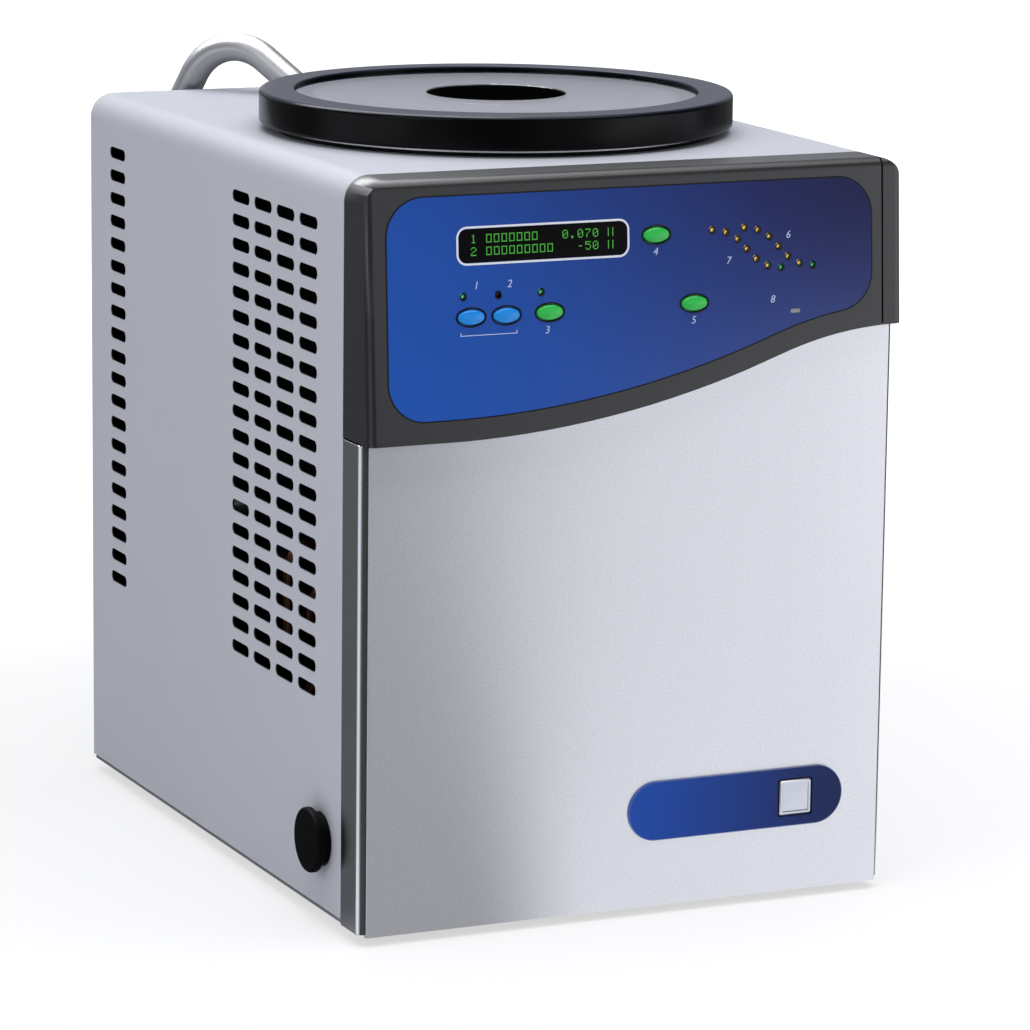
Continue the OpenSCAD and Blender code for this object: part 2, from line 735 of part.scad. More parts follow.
// Push button: a domed oval cap, a flange behind the head's wall and a stem to its key switch.
module push_button(at, tint) color(tint) on_face(at) {
    crown = 1.8;
    low = -head_wall - gap;
    intersection() {
        translate([0, 0, low]) linear_extrude(crown - low) oval(button_size, button_round);
        translate([0, 0, crown - 16]) sphere(16, $fn = 128);
        translate([-20, 0, crown - 5]) rotate([0, 90, 0]) cylinder(r = 5, h = 40, $fn = 96);
    }
    translate([0, 0, low - 1.2]) linear_extrude(1.2) oval(button_size + [4, 4], button_round + 2);
    stem = board_deep - 2.2 - button_travel - gap;
    translate([0, 0, -stem]) cylinder(r = 2, h = stem + low, $fn = 32);
}

button_green = [0.2, 0.72, 0.25];
button_blue = [0.18, 0.55, 0.88];
module menu_button() push_button(menu_at, button_green);
module select_button() push_button(select_at, button_green);
module vacuum_button() push_button(vacuum_at, button_green);
module auto_button() push_button(auto_at, button_blue);
module manual_button() push_button(manual_at, button_blue);

module lamp(at) on_face(at) {
    tip = -led_deep - led_r;
    translate([0, 0, -board_deep]) cylinder(r = led_r, h = board_deep + tip, $fn = 32);
    translate([0, 0, tip]) sphere(led_r, $fn = 32);
}

module amber_leds() color([0.95, 0.75, 0.2]) for (i = [0, 1], n = [0:ladder_n - 2]) lamp(ladder(i)[n]);

module green_leds() color([0.2, 0.8, 0.25]) {
    for (i = [0, 1]) lamp(ladder(i)[ladder_n - 1]);
    for (i = [0, 2]) lamp(status_at[i]);
}

module unlit_led() color([0.1, 0.12, 0.1]) lamp(status_at[1]);

module alarm_lens() color([0.55, 0.55, 0.57]) on_face(alarm_at) {
    translate([0, 0, -head_wall - fit]) linear_extrude(head_wall + fit + 0.2)
        obround(alarm_size[0] - 2 * fit, alarm_size[1] - 2 * fit);
    translate([0, 0, -head_wall - 1]) linear_extrude(1 - fit) obround(alarm_size[0] + 3, alarm_size[1] + 3);
}

module badge_plate() color([0.13, 0.25, 0.58]) along_y(front_y - badge_t, front_y) difference() {
    translate(badge_at) obround_plate(badge_size);
    translate(tile_at) round_rect([tile_well, tile_well], tile_r);
}

module obround_plate(size) {
    square([size[0] - size[1], size[1]], center = true);
    for (s = [-1, 1]) translate([s * (size[0] - size[1]) / 2, 0]) circle(size[1] / 2, $fn = 96);
}

// Domed square tile in the badge's well.
module badge_tile() color([0.8, 0.81, 0.84]) translate([tile_at[0], front_y, tile_at[1]]) rotate([90, 0, 0])
    intersection() {
        linear_extrude(tile_out) round_rect([tile_size, tile_size], tile_r);
        translate([0, 0, tile_out - 42]) sphere(42, $fn = 160);
    }

// ---------- collector ----------

module collector_chamber() color(steel) difference() {
    translate([0, axis_y, 0]) union() {
        translate([0, 0, chamber_low - chamber_t])
            cylinder(r = chamber_ro, h = flange_z - chamber_low + chamber_t, $fn = 128);
        translate([0, 0, flange_z - flange_t]) cylinder(r = flange_r, h = flange_t, $fn = 128);
        // Drain spout
        translate([drain_path[0][0], drain_path[0][1] - axis_y, chamber_low - chamber_t - 9])
            cylinder(r = drain_pipe_r - 2.2, h = 9);
    }
    translate([0, axis_y, chamber_low]) cylinder(d = chamber_d, h = chamber_deep + eps, $fn = 128);
    translate([drain_path[0][0], drain_path[0][1], chamber_low - chamber_t - 10])
        cylinder(r = drain_pipe_r - 3.4, h = chamber_t + 11);
    rod(tube_path[1], [0, axis_y, tube_port_z], tube_d / 2 + fit);
    sensor_line(7);
}

module chamber_collar() color(black) translate([0, axis_y, 0]) difference() {
    translate([0, 0, cab_h]) cylinder(r = collar_r, h = collar_t, $fn = 128);
    translate([0, 0, cab_h - eps]) cylinder(r = deck_hole_r - 2, h = collar_t + 2 * eps, $fn = 128);
}

// One end of the coil: where it leaves the first or last turn, and where its tail stops.
function coil_out(s) = [s * coil_r * -sin(coil_end), axis_y + coil_r * cos(coil_end)];
function coil_tip(s) = coil_out(s) + coil_tail * [s * cos(coil_end), sin(coil_end)];
function coil_z(s) = coil_top - (s > 0 ? 0 : coil_pitch * (coil_turns - coil_end / 180));
function tip3(s, l) = concat(coil_tip(s) + l * [s * cos(coil_end), sin(coil_end)], coil_z(s));

// Refrigerant coil: a helix round the chamber, whose two ends run straight out of the foam.
coil_steps = 24;                     // rings to a turn
module collector_coil() color(copper) {
    n = floor(coil_steps * (coil_turns - coil_end / 180));
    sweep(concat(
        [tip3(1, 0)],
        [for (i = [0:n]) let (a = 90 + coil_end + (360 * coil_turns - 2 * coil_end) * i / n)
            [coil_r * cos(a), axis_y + coil_r * sin(a), coil_z(1) + (coil_z(-1) - coil_z(1)) * i / n]],
        [tip3(-1, 0)]
    ), coil_tube_r, 10);
}

module insulation() color(black) difference() {
    translate([0, axis_y, foam_low]) cylinder(r = foam_ro, h = foam_top - foam_low, $fn = 128);
    translate([0, axis_y, chamber_low - chamber_t - gap]) cylinder(r = foam_ri, h = far, $fn = 128);
    translate([drain_path[0][0], drain_path[0][1], foam_low - eps]) cylinder(r = drain_pipe_r + gap, h = 40);
    rod(tube_path[1], [0, axis_y, tube_port_z], tube_d / 2 + 1);
    for (s = [-1, 1]) rod([coil_out(s)[0], coil_out(s)[1], coil_z(s)], tip3(s, 5), coil_tube_r + 1);
    sensor_line(7);
}

module lid() color([0.8, 0.85, 0.9, 0.4]) translate([0, axis_y, lid_low]) difference() {
    union() {
        cylinder(d = lid_d - 2 * fit, h = lid_t - 0.8, $fn = 160);
        translate([0, 0, lid_t - 0.8])
            cylinder(d1 = lid_d - 2 * fit, d2 = lid_d - 2 * fit - 1.6, h = 0.8, $fn = 160);
    }
    translate([0, 0, -eps]) cylinder(d = port_d, h = lid_t + 2 * eps, $fn = 128);
}

// Rubber ring that holds the lid's edge and seals on the chamber's flange.
module lid_gasket() color(black) translate([0, axis_y, 0]) rotate_extrude($fn = 160) {
    r = ring_d / 2;
    ri = lid_d / 2;
    foot = ring_foot_r;
    edge = 0.6;
    polygon(concat(
        [[lip_r, flange_z], [r - foot, flange_z]],
        [for (a = [15:15:75]) [r - foot + foot * sin(a), flange_z + foot * (1 - cos(a))]],
        [[r, flange_z + foot], [r, ring_top - edge], [r - edge, ring_top],
            [ri, ring_top], [ri, lid_low], [lip_r, lid_low]]
    ));
}

// ---------- vacuum line ----------

// The tube's middle line as a bar of radius r, with both ends made longer.
module tube_line(r, longer = 0) {
    n = len(tube_path) - 1;
    first = tube_path[0] + longer * unit(tube_path[0] - tube_path[1]);
    last = tube_path[n] + longer * unit(tube_path[n] - tube_path[n - 1]);
    pipe([for (i = [0:n]) i == 0 ? first : i == n ? last : tube_path[i]], r,
        [foot_bend, foot_bend, tube_bend, foot_bend], 24);
}

module vacuum_tube() color(steel) difference() {
    tube_line(tube_d / 2);
    tube_line(tube_d / 2 - tube_t, eps);
}

// Nipple that the pump's hose slides onto, at the tube's far end.
module hose_nipple() color(steel) translate(tube_path[5]) rotate([180, 0, 0]) rotate_extrude() polygon([
    [tube_d / 2 - tube_t, 0], [tube_d / 2 + 2, 0],
    [tube_d / 2 + 2, 3], [tube_d / 2, 3], [tube_d / 2, nipple_l - 1],
    [tube_d / 2 - 0.7, nipple_l], [tube_d / 2 - tube_t, nipple_l],
]);

module tube_grommet() color(black) difference() {
    union() {
        translate([0, 0, cab_h]) linear_extrude(2.5) grommet_shape(0);
        translate([0, 0, cab_h - cover_t - 3]) linear_extrude(cover_t + 4) grommet_shape(-4 - fit);
    }
    tube_line(tube_d / 2 + fit);
}

// The gauge's line runs out of the chamber through the foam, behind and to the right.
sensor_dir = [0.6, 0.8];
function sensor_at(d) = [sensor_dir[0] * d, axis_y + sensor_dir[1] * d, tube_port_z];
module sensor_line(r) rod(sensor_at(chamber_d / 2 - 6), sensor_at(foam_ro + 5), r);

module vacuum_sensor() color(galvanised) difference() {
    union() {
        rod(sensor_at(chamber_d / 2 - 1), sensor_at(foam_ro + 8), 6.7);
        rod(sensor_at(foam_ro + 8), sensor_at(foam_ro + 12), 15);
        rod(sensor_at(foam_ro + 12), sensor_at(foam_ro + 40), 12.5);
    }
    rod(sensor_at(chamber_d / 2 - 3), sensor_at(foam_ro + 20), 5);
}

// ---------- drain ----------

drain_path = [
    [-62, axis_y - 62, chamber_low - chamber_t],
    [-62, axis_y - 62, 93],
    [-62, drain_at[0], drain_at[1]],
    [-half_w + 22, drain_at[0], drain_at[1]],
];

module drain_plug() color(black) translate([-half_w, drain_at[0], drain_at[1]]) rotate([0, -90, 0]) {
    head = 4;
    rotate_extrude($fn = 96) polygon([
        [0, -14], [drain_r - 1, -14], [drain_r - gap, -12], [drain_r - gap, gap], [neck_d / 2, gap],
        [neck_d / 2, plug_out - head],
        [plug_d / 2 - 0.8, plug_out - head], [plug_d / 2, plug_out - head + 0.8],
        [plug_d / 2, plug_out - 1.6], [plug_d / 2 - 1.6, plug_out], [0, plug_out + 0.6],
    ]);
}

module drain_fitting() color(black)
translate([-half_w, drain_at[0], drain_at[1]]) rotate([0, 90, 0]) difference() {
    union() {
        cylinder(r = neck_d / 2 + 1, h = cover_t);
        translate([0, 0, cover_t]) cylinder(r = neck_d / 2 + 5, h = 3);
        translate([0, 0, cover_t]) cylinder(r = drain_r + 2.5, h = 22 - cover_t);
    }
    translate([0, 0, -eps]) cylinder(r = drain_r, h = 19 + eps);
    translate([0, 0, 10]) cylinder(r = drain_pipe_r - 2, h = 20);
}

module drain_tube() color([0.85, 0.86, 0.85]) difference() {
    pipe(drain_path, drain_pipe_r, [30, 20], 16);
    pipe(concat([drain_path[0] + [0, 0, eps]], [drain_path[1], drain_path[2]], [drain_path[3] - [eps, 0, 0]]),
        drain_pipe_r - 2, [30, 20], 16);
}

// ---------- refrigeration ----------

function bolt_places() =
    [for (x = [-1, 1], y = [-1, 1]) [comp_at[0] + x * bolt_at[0], comp_at[1] + y * bolt_at[1]]];

function suction_at(l) = [comp_at[0] + comp_r + l, comp_at[1], suction_z];
function discharge_at(l) = concat(comp_at - (comp_r + l) * [cos(60), sin(60)], discharge_z);

module compressor() color(black) {
    rod(suction_at(-20), suction_at(stub), 5);
    rod(discharge_at(-20), discharge_at(stub), 4);
    compressor_can();
}

// Sealed can: a cup with a round bottom edge, and a dome that slips into it at the seam.
module compressor_can() translate([comp_at[0], comp_at[1], 0]) {
    r = comp_r;
    low_r = 14;
    dome_r = 34;
    dome = r - 2.5 - dome_r;             // radius of the dome's flat top
    seam = comp_z + comp_h * 0.52;
    top = comp_z + comp_h;
    rotate_extrude($fn = 96) difference() {
        union() {
            box2d([0, comp_z], [r - low_r, comp_z + low_r]);
            box2d([0, comp_z + low_r], [r, seam]);
            translate([r - low_r, comp_z + low_r]) circle(low_r);
            box2d([0, seam - eps], [dome + dome_r, top - dome_r]);
            box2d([0, top - dome_r - eps], [dome, top]);
            translate([dome, top - dome_r]) circle(dome_r);
        }
        box2d([-far, 0], [0, far]);
    }
    // Base plate
    difference() {
        translate([0, 0, plate_z]) linear_extrude(plate_t)
            round_rect(2 * bolt_at + [24, 24], 12);
        for (x = [-1, 1], y = [-1, 1])
            translate([x * bolt_at[0], y * bolt_at[1], plate_z - eps])
                cylinder(r = bolt_hole_r, h = plate_t + 2 * eps);
    }
}

module compressor_grommets() color([0.15, 0.15, 0.16]) for (p = bolt_places())
    translate([p[0], p[1], floor_z]) rotate_extrude() polygon([
        [bolt_hole_r, 0], [10, 0], [10, 3], [7.5, grommet_h / 2], [10, grommet_h - 3], [10, grommet_h],
        [bolt_hole_r, grommet_h],
    ]);

module compressor_bolts() color(steel) for (p = bolt_places()) translate([p[0], p[1], 0]) {
    translate([0, 0, floor_z - 1]) cylinder(r = bolt_hole_r - 0.2, h = grommet_h + plate_t + 8);
    translate([0, 0, comp_z]) cylinder(r = 8, h = 1.2);
    translate([0, 0, comp_z + 1.2]) cylinder(r = 5.5, h = 4.5, $fn = 6);
}

module condenser() color(galvanised) {
    n = 40;
    pitch = (cond_size[0] - 6) / n;
    translate([-cond_size[0] / 2, cond_y, cond_z]) difference() {
        cube(cond_size);
        for (i = [0:n - 1], s = [0, 1])
            translate([3 + i * pitch + 1, s == 0 ? -eps : cond_size[1] - 6, -eps])
                cube([pitch - 1, 6 + eps, cond_size[2] + 2 * eps]);
    }
}

function row_z(k) = cond_z + (cond_size[2] - (row_n - 1) * row_pitch) / 2 + k * row_pitch;
cond_mid = cond_y + cond_size[1] / 2;
function cond_out(l) = [cond_size[0] / 2 + l, cond_mid, row_z(0)];
function cond_in(l) = [-cond_size[0] / 2 - l, cond_mid, row_z(row_n - 1)];

module condenser_bends() color(copper) {
    for (k = [0:row_n - 2]) let (s = k % 2 == 0 ? -1 : 1)
        translate([s * cond_size[0] / 2, cond_mid, row_z(k + 0.5)]) rotate([0, s * 90, 0]) rotate([90, 0, 0])
            rotate_extrude(angle = 180) translate([row_pitch / 2, 0]) circle(row_r);
    rod(cond_out(0), cond_out(9), row_r);
    rod(cond_in(0), cond_in(9), row_r);
}

module fan_shroud() color(black) {
    ring_r = fan_d / 2 + 3;
    depth = fan_y + fan_deep + 3 - shroud_y;
    difference() {
        union() {
            along_y(shroud_y, shroud_y + 1.5)
                translate([0, fan_z]) square([cond_size[0], cond_size[2]], center = true);
            rod([fan_x, shroud_y, fan_z], [fan_x, shroud_y + depth, fan_z], ring_r + 3);
        }
        rod([fan_x, shroud_y - eps, fan_z], [fan_x, shroud_y + depth + eps, fan_z], ring_r);
    }
}

module fan_rotor() color([0.7, 0.7, 0.72]) translate([fan_x, fan_y, fan_z]) rotate([-90, 0, 0]) {
    hub_r = 17;
    difference() {
        union() {
            cylinder(r = hub_r, h = fan_deep);
            intersection() {
                difference() {
                    translate([0, 0, 1]) cylinder(d = fan_d, h = fan_deep - 2);
                    translate([0, 0, -eps]) cylinder(r = hub_r - 1, h = fan_deep + 2 * eps);
                }
                union() for (i = [0:fan_blades - 1]) rotate([0, 0, i * 360 / fan_blades])
                    translate([0, 0, fan_deep / 2]) rotate([32, 0, 0])
                        translate([0, -18, -0.8]) cube([fan_d / 2, 36, 1.6]);
            }
        }
        translate([0, 0, -eps]) cylinder(r = shaft_r + 0.05, h = fan_deep + 2 * eps, $fn = 32);
    }
}

module fan_shaft() color(steel) rod([fan_x, fan_y, fan_z], [fan_x, motor_y + 16, fan_z], shaft_r, $fn = 32);

module fan_motor() color([0.3, 0.3, 0.32]) difference() {
    union() {
        rod([fan_x, motor_y, fan_z], [fan_x, motor_y + motor_l, fan_z], motor_r);
        rod([fan_x, motor_y - 3, fan_z], [fan_x, motor_y, fan_z], 9 - fit);
    }
    rod([fan_x, motor_y - 5, fan_z], [fan_x, motor_y + 16.5, fan_z], shaft_r + 0.05, $fn = 32);
}

// Three-armed bracket that carries the motor on the shroud's ring.
module fan_bracket() color(galvanised)
translate([fan_x, 0, fan_z]) along_y(fan_y + fan_deep + 3, motor_y) difference() {
    union() {
        circle(24);
        for (i = [0:2]) rotate(90 + i * 120) translate([0, -5]) square([fan_d / 2 + 5.5, 10]);
    }
    circle(9);
}

module filter_drier() color(copper) translate([drier_at[0], drier_at[1], 0]) rotate_extrude() polygon([
    [0, drier_z[0]], [5, drier_z[0]], [5, drier_z[0] + 8], [12.5, drier_z[0] + 20], [12.5, drier_z[1] - 20],
    [5, drier_z[1] - 8], [5, drier_z[1]], [0, drier_z[1]],
]);

module discharge_line() color(copper) pipe([
    discharge_at(stub), discharge_at(stub + 46), [discharge_at(stub + 46)[0], cond_mid, discharge_z],
    [discharge_at(stub + 46)[0], cond_mid, row_z(row_n - 1)], cond_in(9),
], 4, [12, 12, 12]);

module suction_line() color(copper) pipe([
    suction_at(stub), suction_at(stub + 20), tip3(1, 30), tip3(1, 0),
], 5, [12, 14]);

module liquid_line() color(copper) {
    x = drier_at[0];
    y = drier_at[1];
    pipe([cond_out(9), [x, cond_mid, row_z(0)], [x, y, row_z(0)], [x, y, drier_z[0]]], 4, [10, 10]);
    pipe([
        [x, y, drier_z[1]], [x, y, drier_z[1] + 40], [x, 146, drier_z[1] + 40],
        [tip3(-1, 40)[0], 146, drier_z[1] + 40], tip3(-1, 40), tip3(-1, 0),
    ], capillary_r, [12, 12, 10, 10]);
}

// ---------- power ----------

module electrical_box() color(galvanised) {
    lo = [44, rear_y - 80, floor_z];
    hi = [136, rear_y - 4, floor_z + 118];
    difference() {
        box3d(lo, hi);
        box3d(lo + 1.2 * [1, 1, 1], [hi[0] - 1.2, hi[1] + eps, hi[2] - 1.2]);
        rod([lo[0] - eps, lo[1] + 20, lo[2] + 90], [lo[0] + 2 + eps, lo[1] + 20, lo[2] + 90], 8);
    }
}

// Appliance socket in the back panel, with +Z pointing into the cabinet.
module socket_shell() difference() {
    union() {
        translate([0, 0, -flange_out]) linear_extrude(flange_out) round_rect([50, 24], 4);
        linear_extrude(22) round_rect([26.8, 19.4], 2.8);
    }
    for (x = [-1, 1]) translate([x * flange_screw, 0, -10]) cylinder(r = 1.6, h = 20, $fn = 24);
}

module socket_outline() polygon([[-12, -8], [12, -8], [12, 4], [8, 8], [-8, 8], [-12, 4]]);

module at_back(p) translate([p[0], back_y, p[1]]) rotate([90, 0, 0]) children();

module power_inlet() color(black) at_back(inlet_at) {
    difference() {
        socket_shell();
        translate([0, 0, -flange_out - eps]) linear_extrude(17 + eps) socket_outline();
    }
    for (p = [[-7, -2], [0, 2], [7, -2]]) translate([p[0] - 1, p[1] - 2, 5]) cube([2, 4, 11]);
}

module pump_outlet() color(black) at_back(outlet_at) difference() {
    socket_shell();
    for (p = [[-7, -2], [0, 2], [7, -2]])
        translate([p[0] - 1.3, p[1] - 2.4, -flange_out - eps]) cube([2.6, 4.8, 17]);
}

pivot_deep = 6;                      // from the back panel's face in to the rocker's axle

module switch_housing() color(black) at_back(switch_at) difference() {
    union() {
        translate([0, 0, -1.6]) linear_extrude(1.6) round_rect([22, 30.4], 1.5);
        linear_extrude(22) square([18.8, 26.8], center = true);
    }
    translate([0, 0, -1.6 - eps]) linear_extrude(16) square([14, 24.8], center = true);
    translate([-8.2, 0, pivot_deep]) rotate([0, 90, 0]) cylinder(r = 1.6, h = 16.4, $fn = 32);
}

// Rocker, resting at OFF: its two flats lean apart, and it turns about its axle.
module switch_rocker() color(black)
translate([switch_at[0], back_y - pivot_deep, switch_at[1]]) rotate([10, 0, 0]) {
    along_x(-6.7, 6.7) polygon([
        [-2, -4], [2, -10.6], [8, -10.6], [6.1, 0], [8, 10.6], [2, 10.6], [-2, 4],
    ]);
    rod([-8, 0, 0], [8, 0, 0], 1.5, $fn = 32);
}

wrap_cover();
front_frame();
front_panel();
base_pan();
feet();
back_panel();
panel_screws();
control_bezel();
bezel_end_cap();
control_bulkhead();
control_overlay();
display_window();
display_module();
control_board();
board_standoffs();
menu_button();
select_button();
vacuum_button();
auto_button();
manual_button();
amber_leds();
green_leds();
unlit_led();
alarm_lens();
badge_plate();
badge_tile();
collector_chamber();
chamber_collar();
collector_coil();
insulation();
lid();
lid_gasket();
vacuum_tube();
hose_nipple();
tube_grommet();
vacuum_sensor();
drain_plug();
drain_fitting();
drain_tube();
compressor();
compressor_grommets();
compressor_bolts();
condenser();
condenser_bends();
fan_shroud();
fan_bracket();
fan_motor();
fan_shaft();
fan_rotor();
filter_drier();
discharge_line();
suction_line();
liquid_line();
electrical_box();
power_inlet();
pump_outlet();
switch_housing();
switch_rocker();
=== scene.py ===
"""Benchtop freeze dryer: finishes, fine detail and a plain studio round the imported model."""
import logging
import math
from dataclasses import dataclass
from enum import Enum
from typing import Callable, Optional, Sequence

import bmesh
import bpy
from mathutils import Matrix, Vector
from mathutils.geometry import tessellate_polygon


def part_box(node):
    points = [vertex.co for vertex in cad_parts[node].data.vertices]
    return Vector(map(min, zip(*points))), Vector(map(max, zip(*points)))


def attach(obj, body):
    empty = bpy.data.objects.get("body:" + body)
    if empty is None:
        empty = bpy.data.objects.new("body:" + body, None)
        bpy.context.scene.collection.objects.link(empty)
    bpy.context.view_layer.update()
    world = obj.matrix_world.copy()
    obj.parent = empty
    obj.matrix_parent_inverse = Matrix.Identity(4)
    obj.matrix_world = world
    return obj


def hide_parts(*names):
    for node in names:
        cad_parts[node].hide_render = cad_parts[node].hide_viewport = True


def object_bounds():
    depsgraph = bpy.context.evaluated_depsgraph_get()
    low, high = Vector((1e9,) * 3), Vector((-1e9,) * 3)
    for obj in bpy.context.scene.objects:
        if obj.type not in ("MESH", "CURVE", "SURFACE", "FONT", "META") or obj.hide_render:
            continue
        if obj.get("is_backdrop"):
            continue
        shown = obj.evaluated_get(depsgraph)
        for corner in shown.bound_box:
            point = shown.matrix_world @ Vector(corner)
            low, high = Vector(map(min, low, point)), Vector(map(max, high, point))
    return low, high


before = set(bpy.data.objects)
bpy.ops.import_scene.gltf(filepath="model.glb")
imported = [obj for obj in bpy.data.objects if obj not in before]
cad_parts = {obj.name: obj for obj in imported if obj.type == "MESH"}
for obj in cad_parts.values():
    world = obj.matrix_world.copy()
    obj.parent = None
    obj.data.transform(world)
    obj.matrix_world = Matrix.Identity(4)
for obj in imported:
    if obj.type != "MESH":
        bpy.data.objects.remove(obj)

log = logging.getLogger("freeze_dryer")

MM = 0.001
TURN = 2 * math.pi
WELD = 1e-6                  # points closer than this are one point, in metres
CREASE = 30.0                # faces that meet at more than this keep a sharp edge, in degrees
PRINT = (0.08, 0.16)         # back and front of a thin line above the head's face, print and painted shade, in millimetres
LINE = 0.00006               # how far an edge line stands out, in metres
FACING = 0.999               # faces whose cosine to a direction is above this look in it
LEVEL = 0.00005              # and those within this of the foremost are at its level, in metres
COPLANAR = 1.0               # faces that meet at less than this are one flat face, in degrees
UP = Vector((0, 0, 1))
CABINET = "cabinet"

Colour = tuple[float, float, float]
Range = tuple[float, float, float, float]            # a range's two ends, and what each becomes
Outline = list[tuple[float, float]]
Place = Callable[[float, float, float], Vector]      # from two coordinates on a face and a level to a point
Socket = bpy.types.NodeSocket


def mm(*values: float) -> Vector:
    """Turns millimetres into a vector in metres."""
    return Vector(values) * MM


def middle(node: str) -> Vector:
    """The middle of a CAD node's box."""
    low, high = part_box(node)
    return (low + high) / 2


# ---------- node trees ----------


class Tree:
    """A node tree built in a few plain words. In the name of an input, _ stands for a space."""

    prefix: str = "ShaderNode"

    def __init__(self, tree: bpy.types.NodeTree) -> None:
        """Takes the tree to add to.

        Args:
            tree: The node tree.
        """
        self.tree = tree

    def fill(self, socket: Socket, value: object) -> None:
        """Links an input, or sets its constant value.

        Args:
            socket: The input.
            value: A socket, a value or a colour without its alpha.
        """
        if isinstance(value, bpy.types.NodeSocket):
            self.tree.links.new(value, socket)
        elif socket.type == "RGBA":
            socket.default_value = (*value, 1.0)
        else:
            socket.default_value = value

    def node(self, kind: str, **values: object) -> bpy.types.Node:
        """Adds a node and fills in its inputs.

        Args:
            kind: The node's type, without the tree's prefix.
            **values: Each input's value or socket, by its name or by In and its number, and properties.

        Returns:
            The new node.
        """
        made = self.tree.nodes.new(self.prefix + kind)
        for name, value in values.items():
            key = name.replace("_", " ")
            if name[0].islower():
                setattr(made, name, value)
            else:
                self.fill(made.inputs[key] if key in made.inputs else made.inputs[int(name[-1])], value)
        return made

    def math(self, operation: str, a: object, b: object = 0.0) -> Socket:
        """Adds a Math node on two values or sockets and returns its output."""
        return self.node("Math", operation=operation, In0=a, In1=b).outputs[0]

    def shares(self, a: Socket, times_a: float, b: Socket, times_b: float) -> Socket:
        """Adds two values, each times its own factor."""
        return self.math("ADD", self.math("MULTIPLY", a, times_a), self.math("MULTIPLY", b, times_b))

    def length(self, a: Socket, b: Socket) -> Socket:
        """The length of two values at right angles."""
        return self.math("SQRT", self.math("ADD", self.math("MULTIPLY", a, a), self.math("MULTIPLY", b, b)))

    def remap(self, value: Socket, low: float, high: float, to_low: object = 0.0, to_high: object = 1.0,
              ease: bool = False) -> Socket:
        """Maps a range onto another, and holds its ends.

        Args:
            value: The value.
            low: Start of its range.
            high: End of its range, above or below the start.
            to_low: What the start becomes.
            to_high: What the end becomes.
            ease: Whether it eases in and out.

        Returns:
            The mapped value.
        """
        return self.node("MapRange", interpolation_type="SMOOTHSTEP" if ease else "LINEAR", Value=value,
                         From_Min=low, From_Max=high, To_Min=to_low, To_Max=to_high).outputs[0]

    def spread(self, value: Socket, low: float, high: float) -> Socket:
        """Maps a value from 0 to 1 onto a range."""
        return self.remap(value, 0.0, 1.0, low, high)

    def between(self, factor: Socket, a: object, b: object) -> Socket:
        """Mixes two colours by a factor."""
        return self.node("Mix", data_type="RGBA", In0=factor, In6=a, In7=b).outputs[2]


class Graph(Tree):
    """The node tree of a material."""

    def __init__(self, name: str) -> None:
        """Makes the material and keeps its shader at hand.

        Args:
            name: The material's name.
        """
        self.material = bpy.data.materials.new(name)
        self.material.use_nodes = True
        super().__init__(self.material.node_tree)
        self.shader = self.tree.nodes["Principled BSDF"]
        self.place = self.node("TexCoord").outputs["Object"]

    def paint(self, **values: object) -> None:
        """Fills in the shader's own inputs, each with a constant or a socket."""
        for name, value in values.items():
            self.fill(self.shader.inputs[name.replace("_", " ")], value)

    def over(self, where: Socket, colour: Colour) -> None:
        """Lays a colour over the base colour where a factor is 1."""
        under = self.shader.inputs["Base Color"].links[0].from_socket
        self.paint(Base_Color=self.between(where, under, colour))

    def noise(self, scale: Sequence[float], detail: float = 3.0, roughness: float = 0.5) -> Socket:
        """Noise on object coordinates, with its own scale along each axis.

        Args:
            scale: Cells per metre along X, Y and Z.
            detail: Octaves.
            roughness: Strength of the finer octaves.

        Returns:
            The noise's value.
        """
        mapped = self.node("Mapping", Vector=self.place, Scale=tuple(scale)).outputs[0]
        made = self.node("TexNoise", Vector=mapped, Scale=1.0, Detail=detail, Roughness=roughness)
        return made.outputs["Fac"]

    def axis(self, name: str) -> Socket:
        """One of the object's coordinates, in metres."""
        return self.node("SeparateXYZ", Vector=self.place).outputs[name]

    def radius(self, y: float) -> Socket:
        """The distance from an upright axis in the machine's middle plane."""
        return self.length(self.axis("X"), self.math("SUBTRACT", self.axis("Y"), y))

    def ramp(self, factor: Socket, stops: Sequence[tuple[float, Colour]]) -> Socket:
        """A colour ramp.

        Args:
            factor: What drives the ramp.
            stops: Position and colour of each stop.

        Returns:
            The ramp's colour.
        """
        made = self.node("ValToRGB", Fac=factor)
        points = made.color_ramp.elements
        while len(points) < len(stops):
            points.new(1.0)
        for point, (where, colour) in zip(points, stops):
            point.position = where
            point.color = (*colour, 1.0)
        return made.outputs[0]

    def bump(self, height: Socket, depth: float) -> None:
        """Raises the surface by a height field, whose full step is so many metres."""
        self.paint(Normal=self.node("Bump", Strength=1.0, Distance=depth, Height=height).outputs[0])


# ---------- finishes ----------


